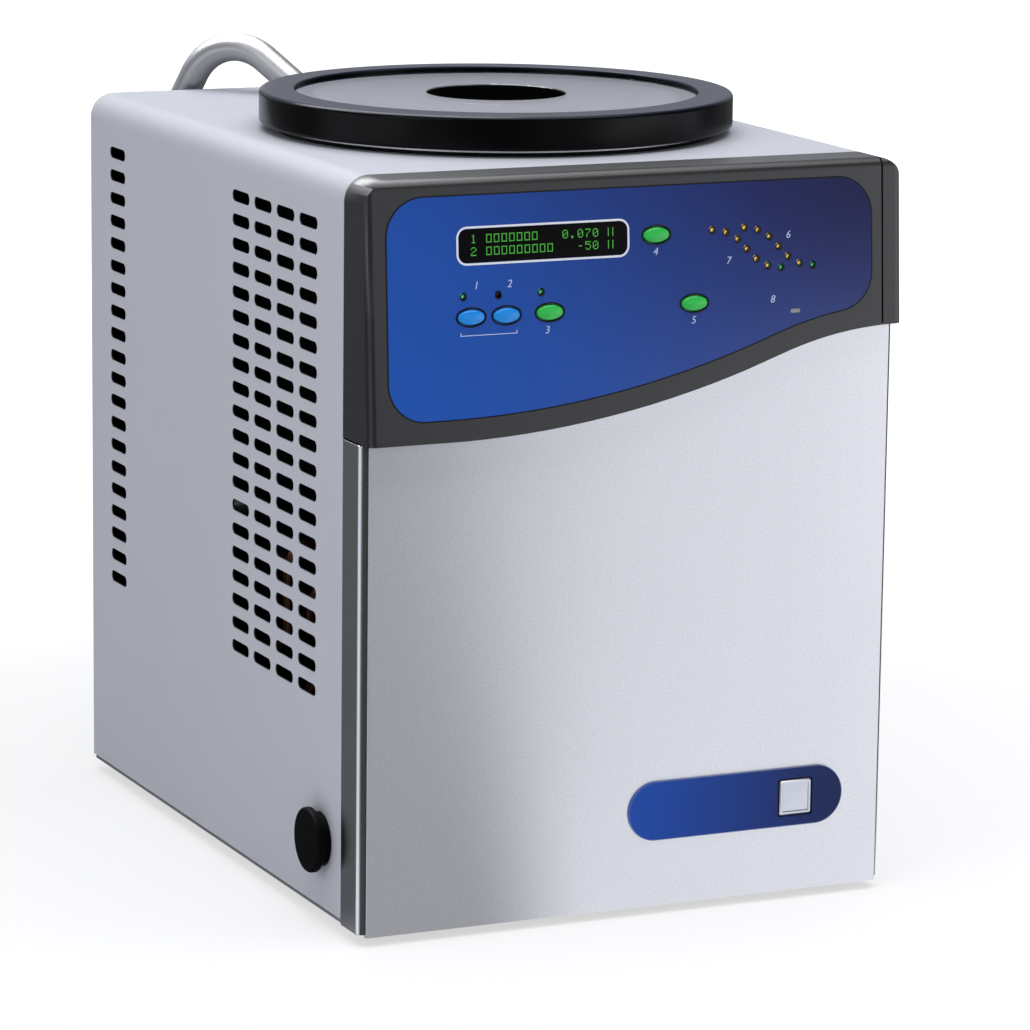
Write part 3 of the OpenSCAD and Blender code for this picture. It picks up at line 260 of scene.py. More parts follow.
@dataclass(frozen=True)
class Finish:
    """A surface with fine grain: colour that varies a little, and shallow bump."""

    name: str
    colour: Colour
    metal: float = 0.0
    rough: float = 0.5
    grain: float = 900.0
    depth: float = 0.00002
    vary: float = 0.04
    coat: float = 0.0
    coat_rough: float = 0.08
    streak: Sequence[float] = (1.0, 1.0, 1.0)
    anisotropy: float = 0.0
    brush: float = 0.25              # the brushing's turn from upright, as a share of a full turn
    rough_vary: float = 0.08
    specular: float = 0.5
    cloud: float = 0.5               # the broad noise's share in the colour
    cloud_grain: float = 14.0        # and its cells per metre

    def graph(self) -> Graph:
        """Builds the finish's node tree.

        Returns:
            The tree, for a finish that adds to it.
        """
        g = Graph(self.name)
        fine = g.noise([self.grain * s for s in self.streak], 4.0, 0.6)
        broad = g.noise((self.cloud_grain,) * 3, 2.0)
        shade = g.shares(fine, 1.0 - self.cloud, broad, self.cloud)
        darker = tuple(c * (1 - self.vary) for c in self.colour)
        lighter = tuple(min(c * (1 + self.vary), 1.0) for c in self.colour)
        g.paint(Metallic=self.metal, Coat_Weight=self.coat, Coat_Roughness=self.coat_rough,
                Anisotropic=self.anisotropy, Specular_IOR_Level=self.specular,
                Base_Color=g.between(shade, darker, lighter),
                Roughness=g.spread(fine, self.rough - self.rough_vary / 2, self.rough + self.rough_vary / 2))
        if self.anisotropy:
            upright = g.node("Tangent", direction_type="RADIAL", axis="Z").outputs[0]
            g.paint(Anisotropic_Rotation=self.brush, Tangent=upright)
        g.bump(fine, self.depth)
        return g


@dataclass(frozen=True)
class ShadedPrimerFinish(Finish):
    """Cabinet paint over dull primer, near black, which paints the shade behind the outer skin."""

    # painted shade: near-black primer where the sheet's inside and cut edges lie in shade
    inner_shade: Colour = (0.003, 0.003, 0.0035)
    skin: tuple[float, float] = (0.0002, 0.0005)     # depths between which the paint gives way

    def level(self, g: Graph) -> tuple[Socket, float]:
        """A distance that grows outwards, and its value at the outer skin: the back panel's.

        Args:
            g: The finish's tree.

        Returns:
            The distance and the skin's value.
        """
        return g.axis("Y"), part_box("back_panel")[1].y

    def graph(self) -> Graph:
        """Adds the near-black primer, painted shade, to the paint by depth below the outer skin.

        Returns:
            The tree.
        """
        g = super().graph()
        level, outer = self.level(g)
        g.over(g.remap(level, outer - self.skin[0], outer - self.skin[1]), self.inner_shade)
        return g


@dataclass(frozen=True)
class CoverFinish(ShadedPrimerFinish):
    """Cabinet paint on the folded cover, with near-black primer that paints the shade inside it and on the
    slots' cut edges.
    """

    corner: float = 0.013

    def level(self, g: Graph) -> tuple[Socket, float]:
        """A distance that grows outwards, and its value at the outer skin: from the folds' centre lines.

        Args:
            g: The finish's tree.

        Returns:
            The distance and the skin's value.
        """
        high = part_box("wrap_cover")[1]
        across = g.math("MAXIMUM", g.math("SUBTRACT", g.math("ABSOLUTE", g.axis("X")), high.x - self.corner))
        up = g.math("MAXIMUM", g.math("SUBTRACT", g.axis("Z"), high.z - self.corner))
        return g.length(across, up), self.corner


@dataclass(frozen=True)
class ChamberFinish(Finish):
    """Stainless steel outside, near black and not metal on the chamber's inner wall."""

    dark_wall: Colour = (0.012, 0.012, 0.013)
    wall: tuple[float, float] = (0.0965, 0.0961)     # radii between which the darkening begins
    floor: tuple[float, float] = (0.009, 0.0095)     # and levels above the chamber's foot

    def graph(self) -> Graph:
        """Darkens the chamber's inner wall and takes its metal away.

        Returns:
            The tree.
        """
        g = super().graph()
        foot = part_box("collector_chamber")[0].z
        wall = g.remap(g.radius(middle("lid_gasket").y), *self.wall)
        floor = g.remap(g.axis("Z"), foot + self.floor[0], foot + self.floor[1])
        darkened = g.math("MULTIPLY", wall, floor)
        g.over(darkened, self.dark_wall)
        g.paint(Metallic=g.math("SUBTRACT", 1.0, darkened))
        return g


@dataclass(frozen=True)
class GapShadowFrameFinish(Finish):
    """Folded steel, with a painted shadow, dark and not metal, beside the front panel."""

    # painted shadow of the gap between the frame and the front panel
    recess: Colour = (0.045, 0.048, 0.048)
    margin: float = 0.0016           # the bright outer margin
    blur: float = 0.0002

    def graph(self) -> Graph:
        """Paints the gap's shadow on the frame's face inside its outer margin.

        Returns:
            The tree.
        """
        g = super().graph()
        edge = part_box("front_frame")[1].x - self.margin
        inside = g.remap(g.math("ABSOLUTE", g.axis("X")), edge, edge - self.blur)
        g.over(inside, self.recess)
        g.paint(Metallic=g.math("SUBTRACT", 1.0, inside))
        return g


@dataclass(frozen=True)
class RingFinish(Finish):
    """Black rubber with a painted sheen, faint and blue, on the ring's top face."""

    top_sheen: Colour = (0.020, 0.025, 0.042)
    depths: tuple[float, float] = (0.0014, 0.0004)   # below the top, between which the painted sheen sets in

    def graph(self) -> Graph:
        """Adds the painted sheen near the ring's top.

        Returns:
            The tree.
        """
        g = super().graph()
        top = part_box("lid_gasket")[1].z
        g.over(g.remap(g.axis("Z"), top - self.depths[0], top - self.depths[1]), self.top_sheen)
        return g


@dataclass(frozen=True)
class PrintFinish:
    """Smooth print on a plate, with a ramp of colour across it, and a painted sheen at its lower right if one
    is given.
    """

    name: str
    node: str
    stops: Sequence[tuple[float, Colour]]
    grain: float
    rough: tuple[float, float]
    rise: float = 0.0                # the height's share in the ramp
    corner_sheen: Optional[Colour] = None    # painted sheen at the plate's lower right
    fall: float = 2.0                # how fast the painted sheen thins out
    specular: float = 0.15
    depth: float = 0.000004

    def graph(self) -> Graph:
        """Builds the print's node tree.

        Returns:
            The tree.
        """
        g = Graph(self.name)
        low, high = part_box(self.node)
        across = g.remap(g.axis("X"), low.x, high.x)
        up = g.remap(g.axis("Z"), low.z, high.z)
        fine = g.noise((self.grain,) * 3, 2.0)
        g.paint(Specular_IOR_Level=self.specular, Roughness=g.spread(fine, *self.rough),
                Base_Color=g.ramp(g.shares(across, 1.0 - self.rise, up, self.rise), self.stops))
        if self.corner_sheen:
            # painted sheen: a paler colour laid over the print's lower right
            down = g.math("POWER", g.math("SUBTRACT", 1.0, up), self.fall)
            g.over(g.math("MULTIPLY", g.math("POWER", across, self.fall), down), self.corner_sheen)
        g.bump(fine, self.depth)
        return g


@dataclass(frozen=True)
class LampFinish:
    """A small lamp or lit dot that glows a little in its own colour."""

    name: str
    colour: Colour
    glow: float
    rough: float = 0.2
    grain: float = 3000.0
    darker: float = 0.9              # the grain's darker colour, as a share of the lamp's

    def graph(self) -> Graph:
        """Builds the lamp's node tree.

        Returns:
            The tree.
        """
        g = Graph(self.name)
        fine = g.noise((self.grain,) * 3, 1.0)
        g.paint(Roughness=self.rough, Emission_Color=self.colour, Emission_Strength=self.glow,
                Base_Color=g.between(fine, tuple(c * self.darker for c in self.colour), self.colour))
        return g


@dataclass(frozen=True)
class LidFinish:
    """Clear acrylic whose bored port has a wall painted near black and not clear, as painted shade."""

    name: str
    colour: Colour
    rough: tuple[float, float] = (0.018, 0.042)
    grain: float = 60.0
    ior: float = 1.49
    specular: tuple[float, float] = (0.05, 0.5)      # on the wall, and where it is clear
    port: tuple[float, float] = (0.0371, 0.0373)     # radii between which the wall gives way to clear
    # the port's wall, painted near black as shade
    wall: Colour = (0.003, 0.003, 0.0033)

    def graph(self) -> Graph:
        """Builds the lid's node tree.

        Returns:
            The tree.
        """
        g = Graph(self.name)
        fine = g.noise((self.grain,) * 3, 2.0)
        clear = g.remap(g.radius(middle("lid").y), *self.port)
        g.paint(IOR=self.ior, Roughness=g.spread(fine, *self.rough), Transmission_Weight=clear,
                Base_Color=g.between(clear, self.wall, self.colour),
                Specular_IOR_Level=g.spread(clear, *self.specular))
        return g


class Look(Enum):
    """Every finish on the machine."""

    # panel_paint and cabinet_paint: near-black primer inside them paints their shade
    PAINT = ShadedPrimerFinish("panel_paint", (0.50, 0.515, 0.57), rough=0.55, grain=1500.0, depth=0.000012,
                         vary=0.03, specular=0.25)
    COVER = CoverFinish("cabinet_paint", (0.50, 0.515, 0.57), rough=0.55, grain=1500.0, depth=0.000012,
                        vary=0.03, specular=0.25)
    PANEL = Finish("brushed_panel", (0.80, 0.805, 0.82), metal=1.0, rough=0.36, grain=1.0, vary=0.2,
                   streak=(620.0, 1200.0, 800.0), depth=0.000008, anisotropy=0.94, rough_vary=0.1,
                   cloud=0.12)
    FRAME_STEEL = GapShadowFrameFinish("frame_steel", (0.50, 0.50, 0.52), metal=1.0, rough=0.22, grain=1.0,
                              vary=0.04, streak=(2500.0, 2500.0, 120.0), depth=0.000004, rough_vary=0.06)
    SATIN_STEEL = Finish("fine_steel", (0.60, 0.605, 0.615), metal=1.0, rough=0.27, grain=1200.0,
                         depth=0.000004, vary=0.03)
    CHAMBER = ChamberFinish("chamber_steel", (0.60, 0.605, 0.615), metal=1.0, rough=0.27, grain=1200.0,
                            depth=0.000004, vary=0.03, specular=0.2)
    TUBE_STEEL = Finish("tube_steel", (0.40, 0.40, 0.41), metal=1.0, rough=0.40, depth=0.000006, vary=0.06)
    ZINC = Finish("zinc_plate", (0.50, 0.515, 0.53), metal=1.0, rough=0.45, grain=90.0, depth=0.000006,
                  vary=0.12)
    HEAD = Finish("head_moulding", (0.008, 0.0084, 0.009), rough=0.38, grain=1500.0, depth=0.00003,
                  vary=0.3, rough_vary=0.16, specular=0.75)
    RUBBER = RingFinish("ring_rubber", (0.0012, 0.0012, 0.0014), rough=0.25, depth=0.000003, vary=0.1,
                        specular=0.10)
    SOFT_RUBBER = Finish("plug_rubber", (0.0015, 0.0015, 0.0018), rough=0.55, grain=1500.0, depth=0.00001,
                         vary=0.1, specular=0.05)
    FOAM = Finish("jacket_foam", (0.003, 0.003, 0.0033), rough=0.9, grain=500.0, depth=0.0003, vary=0.2,
                  specular=0.02)
    BLACK_PAINT = Finish("black_enamel", (0.010, 0.010, 0.011), rough=0.3, grain=500.0, depth=0.00001,
                         vary=0.1, coat=0.3)
    BLACK_PLASTIC = Finish("moulded_plastic", (0.014, 0.014, 0.015), rough=0.45, grain=1500.0,
                           depth=0.00001, vary=0.1)
    COPPER = Finish("drawn_copper", (0.07, 0.03, 0.018), metal=1.0, rough=0.42, grain=160.0, depth=0.000005,
                    vary=0.12)
    FIN = Finish("fin_aluminium", (0.62, 0.63, 0.64), metal=1.0, rough=0.4, grain=400.0, depth=0.000005,
                 vary=0.06)
    MOTOR = Finish("motor_paint", (0.06, 0.06, 0.066), rough=0.45, grain=700.0, depth=0.00001, vary=0.1)
    BOARD = Finish("circuit_board", (0.02, 0.12, 0.05), rough=0.35, grain=260.0, vary=0.25)
    TUBING = Finish("drain_tubing", (0.62, 0.63, 0.60), rough=0.35, grain=300.0, depth=0.00001, vary=0.05)
    GREEN_KEY = Finish("green_key", (0.03, 0.46, 0.07), rough=0.2, grain=1800.0, depth=0.000003, vary=0.08,
                       coat=0.2, specular=0.3)
    BLUE_KEY = Finish("blue_key", (0.008, 0.24, 0.70), rough=0.24, grain=1800.0, depth=0.000003, vary=0.08,
                      coat=0.2, specular=0.3)
    WINDOW = Finish("display_window", (0.002, 0.002, 0.0024), rough=0.12, grain=600.0, depth=0.000001,
                    vary=0.1, specular=0.05)
    GREY_LENS = Finish("grey_lens", (0.20, 0.20, 0.22), rough=0.25, depth=0.000002, vary=0.06, coat=0.4)
    DARK_LAMP = Finish("unlit_lamp", (0.012, 0.015, 0.012), rough=0.2, depth=0.000002, vary=0.1)
    SILVER = Finish("silver_tile", (0.57, 0.585, 0.62), metal=1.0, rough=0.30, grain=1300.0, depth=0.00001,
                    vary=0.1)
    WHITE_INK = Finish("white_ink", (0.70, 0.72, 0.78), rough=0.45, grain=1500.0, depth=0.000003, vary=0.03)
    PALE_INK = Finish("pale_ink", (0.46, 0.52, 0.74), rough=0.45, grain=1500.0, depth=0.000003, vary=0.03)
    PALE_EDGE = Finish("pale_edge", (0.14, 0.19, 0.36), rough=0.3, grain=1500.0, depth=0.000002, vary=0.05)
    # painted shade for gaps: round the keys, the lamps, the film and the badge's tile
    DARK_EDGE = Finish("dark_edge", (0.004, 0.0045, 0.007), rough=0.4, grain=1500.0, depth=0.000002,
                       vary=0.05, specular=0.2)
    FILM = PrintFinish("printed_film", "control_overlay", (
        (0.0, (0.010, 0.084, 0.41)), (0.32, (0.011, 0.068, 0.35)), (0.6, (0.012, 0.038, 0.20)),
        (0.82, (0.012, 0.018, 0.100)), (1.0, (0.010, 0.011, 0.055)),
    ), 2500.0, (0.28, 0.38), rise=0.30, corner_sheen=(0.075, 0.10, 0.28))
    BADGE = PrintFinish("badge_enamel", "badge_plate", (
        (0.0, (0.010, 0.066, 0.38)), (0.4, (0.010, 0.046, 0.26)), (0.8, (0.009, 0.023, 0.12)),
        (1.0, (0.009, 0.018, 0.08)),
    ), 1800.0, (0.25, 0.35))
    AMBER_LAMP = LampFinish("amber_lamp", (0.88, 0.60, 0.16), 0.5)
    GREEN_LAMP = LampFinish("green_lamp", (0.08, 0.56, 0.22), 0.5)
    LIT_DOT = LampFinish("display_green", (0.05, 0.42, 0.03), 0.22)
    LID = LidFinish("clear_lid", (0.70, 0.74, 0.80))

    @property
    def material(self) -> bpy.types.Material:
        """The finish's material, made when it is first asked for."""
        return bpy.data.materials.get(self.value.name) or self.value.graph().material


# ---------- meshes ----------


def linked(name: str, data: bpy.types.ID) -> bpy.types.Object:
    """Makes an object and adds it to the scene.

    Args:
        name: The object's name.
        data: Its mesh, camera, lamp or text.

    Returns:
        The object.
    """
    obj = bpy.data.objects.new(name, data)
    bpy.context.scene.collection.objects.link(obj)
    return obj


def evaluated(obj: bpy.types.Object, layers: bool = False) -> bpy.types.Mesh:
    """A new mesh of an object with its modifiers applied.

    Args:
        obj: The object.
        layers: Whether every layer of its data is kept.

    Returns:
        The new mesh.
    """
    graph = bpy.context.evaluated_depsgraph_get()
    shown = obj.evaluated_get(graph)
    return bpy.data.meshes.new_from_object(shown, preserve_all_data_layers=layers, depsgraph=graph)


def new_piece(name: str, mesh: bpy.types.Mesh, look: Look, slot: str, *replaces: str,
              body: str = CABINET) -> None:
    """Adds a finished mesh as a piece that rides on a body.

    Args:
        name: The piece's name.
        mesh: Its mesh, in the frame's own metres.
        look: Its finish.
        slot: Name of a record's material slot; not used.
        *replaces: CAD nodes that it stands for.
        body: The body that it moves with.
    """
    mesh.name = name
    obj = linked(name, mesh)
    mesh.materials.clear()
    mesh.materials.append(look.material)
    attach(obj, body)
    if replaces:
        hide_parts(*replaces)
    log.info("%s: %d faces on %s", name, len(mesh.polygons), body)


def shade(mesh: bpy.types.Mesh, crease: float) -> bpy.types.Mesh:
    """Shades a mesh smooth, with creases.

    Args:
        mesh: The mesh.
        crease: Faces that meet at more than this keep a sharp edge, in degrees.

    Returns:
        The same mesh.
    """
    mesh.shade_smooth()
    mesh.set_sharp_from_angle(angle=math.radians(crease))
    return mesh


def finished(bm: bmesh.types.BMesh, crease: float = CREASE, outward: bool = True) -> bpy.types.Mesh:
    """Makes a shaded mesh of a bmesh, which is freed.

    Args:
        bm: The bmesh.
        crease: Faces that meet at more than this keep a sharp edge, in degrees.
        outward: Whether its faces are first turned outwards.

    Returns:
        The new mesh.
    """
    if outward:
        bmesh.ops.recalc_face_normals(bm, faces=bm.faces)
    mesh = bpy.data.meshes.new("shape")
    bm.to_mesh(mesh)
    bm.free()
    return shade(mesh, crease)


def weighted(mesh: bpy.types.Mesh) -> bpy.types.Mesh:
    """Bends a mesh's normals towards its large faces, so that flat faces shade flat.

    Args:
        mesh: The mesh, which is removed.

    Returns:
        A copy with its own normals.
    """
    obj = linked("weighted", mesh)
    modifier = obj.modifiers.new("weighted", "WEIGHTED_NORMAL")
    modifier.weight, modifier.keep_sharp = 100, True
    made = evaluated(obj, layers=True)
    bpy.data.objects.remove(obj)
    bpy.data.meshes.remove(mesh)
    return made


def walls(bm: bmesh.types.BMesh, rings: Sequence[Sequence[bmesh.types.BMVert]], closed: bool = False) -> None:
    """Joins each ring of points to the next by a strip of faces.

    Args:
        bm: The bmesh that has the points.
        rings: Rings with the same number of points.
        closed: Whether the last ring joins the first.
    """
    for a, b in zip(rings, [*rings[1:], rings[0]] if closed else rings[1:]):
        for i in range(len(a)):
            j = (i + 1) % len(a)
            bm.faces.new((a[i], a[j], b[j], b[i]))


def copied(node: str) -> bmesh.types.BMesh:
    """A bmesh copy of a CAD node, with its triangles' shared points welded.

    Args:
        node: The CAD node.

    Returns:
        The bmesh.
    """
    bm = bmesh.new()
    bm.from_mesh(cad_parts[node].data)
    bmesh.ops.remove_doubles(bm, verts=bm.verts, dist=WELD)
    return bm


def islands(node: str) -> list[tuple[Vector, Vector]]:
    """The box round each loose part of a CAD node.

    Args:
        node: The CAD node.

    Returns:
        The low and the high corner of each box, from left to right.
    """
    bm = copied(node)
    left, boxes = set(bm.verts), []
    while left:
        part, edge = [], [left.pop()]
        while edge:
            vert = edge.pop()
            part.append(vert.co)
            near = {e.other_vert(vert) for e in vert.link_edges} & left
            left -= near
            edge += near
        corners = [[pick(point[i] for point in part) for i in range(3)] for pick in (min, max)]
        boxes.append((Vector(corners[0]), Vector(corners[1])))
    bm.free()
    return sorted(boxes, key=lambda box: tuple(box[0]))


def softened(node: str, radius: float, segments: int = 3, angle: float = 30.0,
             choose: Callable[[Vector], bool] = lambda middle: True, crease: float = 40.0) -> bpy.types.Mesh:
    """A copy of a CAD node's mesh with its hard edges rounded off.

    Args:
        node: The CAD node.
        radius: Width of the rounding, in millimetres.
        segments: Steps across it.
        angle: Edges sharper than this are rounded, in degrees.
        choose: Says from an edge's middle whether the edge is rounded.
        crease: Edges sharper than this stay sharp, in degrees.

    Returns:
        The new mesh.
    """
    bm = copied(node)
    bmesh.ops.dissolve_limit(bm, angle_limit=math.radians(COPLANAR), verts=bm.verts, edges=bm.edges,
                             delimit={"NORMAL"})
    edges = [e for e in bm.edges if len(e.link_faces) == 2 and e.calc_face_angle(0.0) > math.radians(angle)
             and choose((e.verts[0].co + e.verts[1].co) / 2)]
    bmesh.ops.bevel(bm, geom=edges, offset=radius * MM, offset_type="OFFSET", segments=segments, profile=0.5,
                    affect="EDGES", clamp_overlap=True)
    return weighted(finished(bm, crease, outward=False))


def lathe(outline: Outline, origin: Vector, axis: Vector, steps: int) -> bpy.types.Mesh:
    """A closed ring or disc turned from an outline.

    Args:
        outline: Radius and height along the axis, in millimetres, once round the section.
        origin: Where height is 0.
        axis: Direction of height.
        steps: Faces round the ring.

    Returns:
        The new mesh.
    """
    turn = axis.normalized().to_track_quat("Z", "Y").to_matrix()
    section = [(r * MM, h * MM) for r, h in outline]
    bm = bmesh.new()
    sides = []
    for a in (TURN * k / steps for k in range(steps)):
        ring = [origin + turn @ Vector((r * math.cos(a), r * math.sin(a), h)) for r, h in section]
        sides.append([bm.verts.new(point) for point in ring])
    hollow = section[0][0] > 0.0 or section[-1][0] > 0.0
    for here, there in zip(sides, sides[1:] + sides[:1]):
        for i in range(len(section) if hollow else len(section) - 1):
            j = (i + 1) % len(section)
            bm.faces.new((here[i], there[i], there[j], here[j]))
    bmesh.ops.remove_doubles(bm, verts=bm.verts, dist=WELD / 10)
    bmesh.ops.dissolve_degenerate(bm, edges=bm.edges, dist=WELD / 10)
    return weighted(finished(bm))


def rounded(points: Sequence[tuple[float, float, float]], steps: int = 5) -> Outline:
    """Rounds the corners of a closed outline.

    Args:
        points: Each corner's two coordinates and its radius.
        steps: Points along each corner.

    Returns:
        The outline's points.
    """
    out = []
    for i, (x, y, r) in enumerate(points):
        here = Vector((x, y))
        if r <= 0:
            out.append((x, y))
            continue
        before = (Vector(points[i - 1][:2]) - here).normalized()
        after = (Vector(points[(i + 1) % len(points)][:2]) - here).normalized()
        half = before.angle(after) / 2
        cut = r / math.tan(half)
        centre = here + (before + after).normalized() * (r / math.sin(half))
        a, b = here + before * cut - centre, here + after * cut - centre
        for k in range(steps + 1):
            t = k / steps
            p = centre + (a * (1 - t) + b * t).normalized() * r
            out.append((p.x, p.y))
    return out


def arc(x: float, y: float, radius: float, start: float, end: float, steps: int) -> Outline:
    """Points along an arc, ends included, with its angles in radians."""
    turns = [start + (end - start) * k / steps for k in range(steps + 1)]
    return [(x + radius * math.cos(t), y + radius * math.sin(t)) for t in turns]


def circle(radius: float) -> Outline:
    """A circle of 32 points about the origin."""
    return arc(0, 0, radius, 0, TURN, 32)[:-1]


def rect(left: float, foot: float, right: float, top: float) -> Outline:
    """A rectangle with sharp corners, by its sides."""
    return [(left, foot), (right, foot), (right, top), (left, top)]


def round_rect(width: float, height: float, radius: float, steps: int = 8) -> Outline:
    """A rectangle with round corners, about its middle.

    Args:
        width: Its width.
        height: Its height.
        radius: Radius of its corners.
        steps: Steps along each corner.

    Returns:
        The outline.
    """
    x, y = width / 2 - radius, height / 2 - radius
    corners = ((x, y, 0.0), (-x, y, 0.25), (-x, -y, 0.5), (x, -y, 0.75))
    return [p for cx, cy, a in corners for p in arc(cx, cy, radius, a * TURN, (a + 0.25) * TURN, steps)]


def oval(width: float, height: float, ends: float, steps: int = 12) -> Outline:
    """An oval of two round ends and two flatter arcs, about its middle.

    Args:
        width: Its long axis.
        height: Its short axis.
        ends: Radius of its ends, less than half the height.
        steps: Points along each arc.

    Returns:
        The outline.
    """
    c = width / 2 - ends
    b = height / 2 - ends
    k = (c * c - b * b) / (2 * b)
    big = height / 2 + k
    turn = math.atan2(k, c)
    arcs = ((c, 0, ends, -turn, turn), (0, -k, big, turn, math.pi - turn),
            (-c, 0, ends, math.pi - turn, math.pi + turn), (0, k, big, math.pi + turn, TURN - turn))
    return [p for part in arcs for p in arc(*part, steps)[:-1]]


def prism(loops: Sequence[Outline], low: float, high: float, place: Place) -> bpy.types.Mesh:
    """A plate cut to an outline, with holes.

    Args:
        loops: The outer outline, then the outline of each hole.
        low: Level of its back.
        high: Level of its front.
        place: Turns an outline's two coordinates and a level into a point.

    Returns:
        The new mesh.
    """
    bm = bmesh.new()
    flat = [[Vector((x, y, 0.0)) for x, y in loop] for loop in loops]
    backs, fronts = ([[bm.verts.new(place(p.x, p.y, level)) for p in loop] for loop in flat]
                     for level in (low, high))
    back, front = sum(backs, []), sum(fronts, [])
    for corners in tessellate_polygon(flat):
        bm.faces.new([back[i] for i in corners])
        bm.faces.new([front[i] for i in reversed(corners)])
    for pair in zip(backs, fronts):
        walls(bm, pair)
    return finished(bm)


def stack(layers: Sequence[tuple[Outline, float]], place: Place, crease: float,
          peak: Optional[float] = None) -> bpy.types.Mesh:
    """A solid through a stack of outlines.

    Args:
        layers: Each outline and its level, from the back.
        place: Turns an outline's two coordinates and a level into a point.
        crease: Faces that meet at more than this keep a sharp edge, in degrees.
        peak: Level of a point that closes the front; without it a flat face does.

    Returns:
        The new mesh.
    """
    bm = bmesh.new()
    rings = [[bm.verts.new(place(x, y, level)) for x, y in outline] for outline, level in layers]
    walls(bm, rings)
    bm.faces.new(rings[0])
    last = rings[-1]
    if peak is None:
        bm.faces.new(last)
    else:
        tip = bm.verts.new(place(0.0, 0.0, peak))
        for a, b in zip(last, last[1:] + last[:1]):
            bm.faces.new((a, b, tip))
    return finished(bm, crease)


def joined(meshes: Sequence[bpy.types.Mesh]) -> bpy.types.Mesh:
    """Puts several meshes into one.

    Args:
        meshes: The meshes, which are removed.

    Returns:
        The new mesh.
    """
    bm = bmesh.new()
    for part in meshes:
        bm.from_mesh(part)
        bpy.data.meshes.remove(part)
    return finished(bm, outward=False)


def edge_of(node: str, normal: Vector) -> list[Vector]:
    """The outer edge of a node's front face, in order, anticlockwise when seen from in front.

    Args:
        node: The CAD node.
        normal: Direction that the front face looks in.

    Returns:
        The edge's points.
    """
    bm = copied(node)
    facing = [f for f in bm.faces if f.normal.dot(normal) > FACING]
    level = max(f.calc_center_median().dot(normal) for f in facing)
    front = {f for f in facing if f.calc_center_median().dot(normal) > level - LEVEL}
    links: dict[bmesh.types.BMVert, list[bmesh.types.BMVert]] = {}
    for edge in bm.edges:
        if sum(f in front for f in edge.link_faces) == 1:
            a, b = edge.verts
            links.setdefault(a, []).append(b)
            links.setdefault(b, []).append(a)
    loops = []
    while links:
        here: Optional[bmesh.types.BMVert] = next(iter(links))
        loop = []
        while here in links:
            loop.append(here.co.copy())
            here = next((v for v in links.pop(here) if v in links), None)
        loops.append(loop)
    bm.free()
    widest = max(loops, key=lambda loop: max(p.x for p in loop) - min(p.x for p in loop))
    centre = sum(widest, Vector()) / len(widest)
    pairs = zip(widest, widest[1:] + widest[:1])
    area = sum((a - centre).cross(b - centre).dot(normal) for a, b in pairs)
    return widest if area > 0 else widest[::-1]


def band(loop: Sequence[Vector], normal: Vector, inset: float, width: float) -> bpy.types.Mesh:
    """A thin strip that follows a closed edge.

    Args:
        loop: The edge, anticlockwise when seen from in front.
        normal: Direction that the strip faces.
        inset: From the edge in to the strip, in millimetres.
        width: Width of the strip, in millimetres.

    Returns:
        The new mesh.
    """
    bm = bmesh.new()
    rings = []
    near, far = inset * MM, inset * MM + width * MM
    for i, here in enumerate(loop):
        inward = normal.cross((loop[(i + 1) % len(loop)] - loop[i - 1]).normalized())
        corners = ((near, -LINE), (near, LINE), (far, LINE), (far, -LINE))
        rings.append([bm.verts.new(here + inward * side + normal * out) for side, out in corners])
    walls(bm, rings, closed=True)
    return finished(bm)


def filleted(points: Sequence[Vector], radii: Sequence[float], steps: int = 20) -> list[Vector]:
    """A route with its inner corners bent to arcs.

    Args:
        points: The route's corners.
        radii: Bend radius at each inner corner, in millimetres.
        steps: Steps along each bend.

    Returns:
        The bent route.
    """
    out = [points[0]]
    for before, here, after, radius in zip(points, points[1:], points[2:], radii):
        a, b = (before - here).normalized(), (after - here).normalized()
        half = a.angle(b) / 2
        cut = radius * MM / math.tan(half)
        centre = here + (a + b).normalized() * (radius * MM / math.sin(half))
        start, end = here + a * cut - centre, here + b * cut - centre
        swing = start.angle(end)
        for k in range(steps + 1):
            t = k / steps
            spoke = start * math.sin((1 - t) * swing) + end * math.sin(t * swing)
            out.append(centre + spoke / math.sin(swing))
    return out + [points[-1]]


def swept(route: Sequence[Vector], outer: float, inner: float, sides: int = 48) -> bpy.types.Mesh:
    """A tube along a route, open at both ends, with a wall.

    Args:
        route: The tube's middle line.
        outer: Outer radius, in millimetres.
        inner: Inner radius, in millimetres.
        sides: Faces round the tube.

    Returns:
        The new mesh.
    """
    bm = bmesh.new()
    side = (route[1] - route[0]).normalized().orthogonal().normalized()
    turns = [TURN * k / sides for k in range(sides)]
    skins: tuple[list, list] = ([], [])
    for i, here in enumerate(route):
        onward = (route[min(i + 1, len(route) - 1)] - route[max(i - 1, 0)]).normalized()
        side = (side - onward * side.dot(onward)).normalized()
        up = onward.cross(side)
        for skin, r in zip(skins, (outer * MM, inner * MM)):
            skin.append([bm.verts.new(here + (side * math.cos(t) + up * math.sin(t)) * r) for t in turns])
    outside, inside = skins
    lining = [ring[::-1] for ring in inside]
    for rings in (outside, lining, (outside[0], inside[0]), (outside[-1], inside[-1])):
        walls(bm, rings)
    return finished(bm, 40.0)


# ---------- repeats by Geometry Nodes ----------


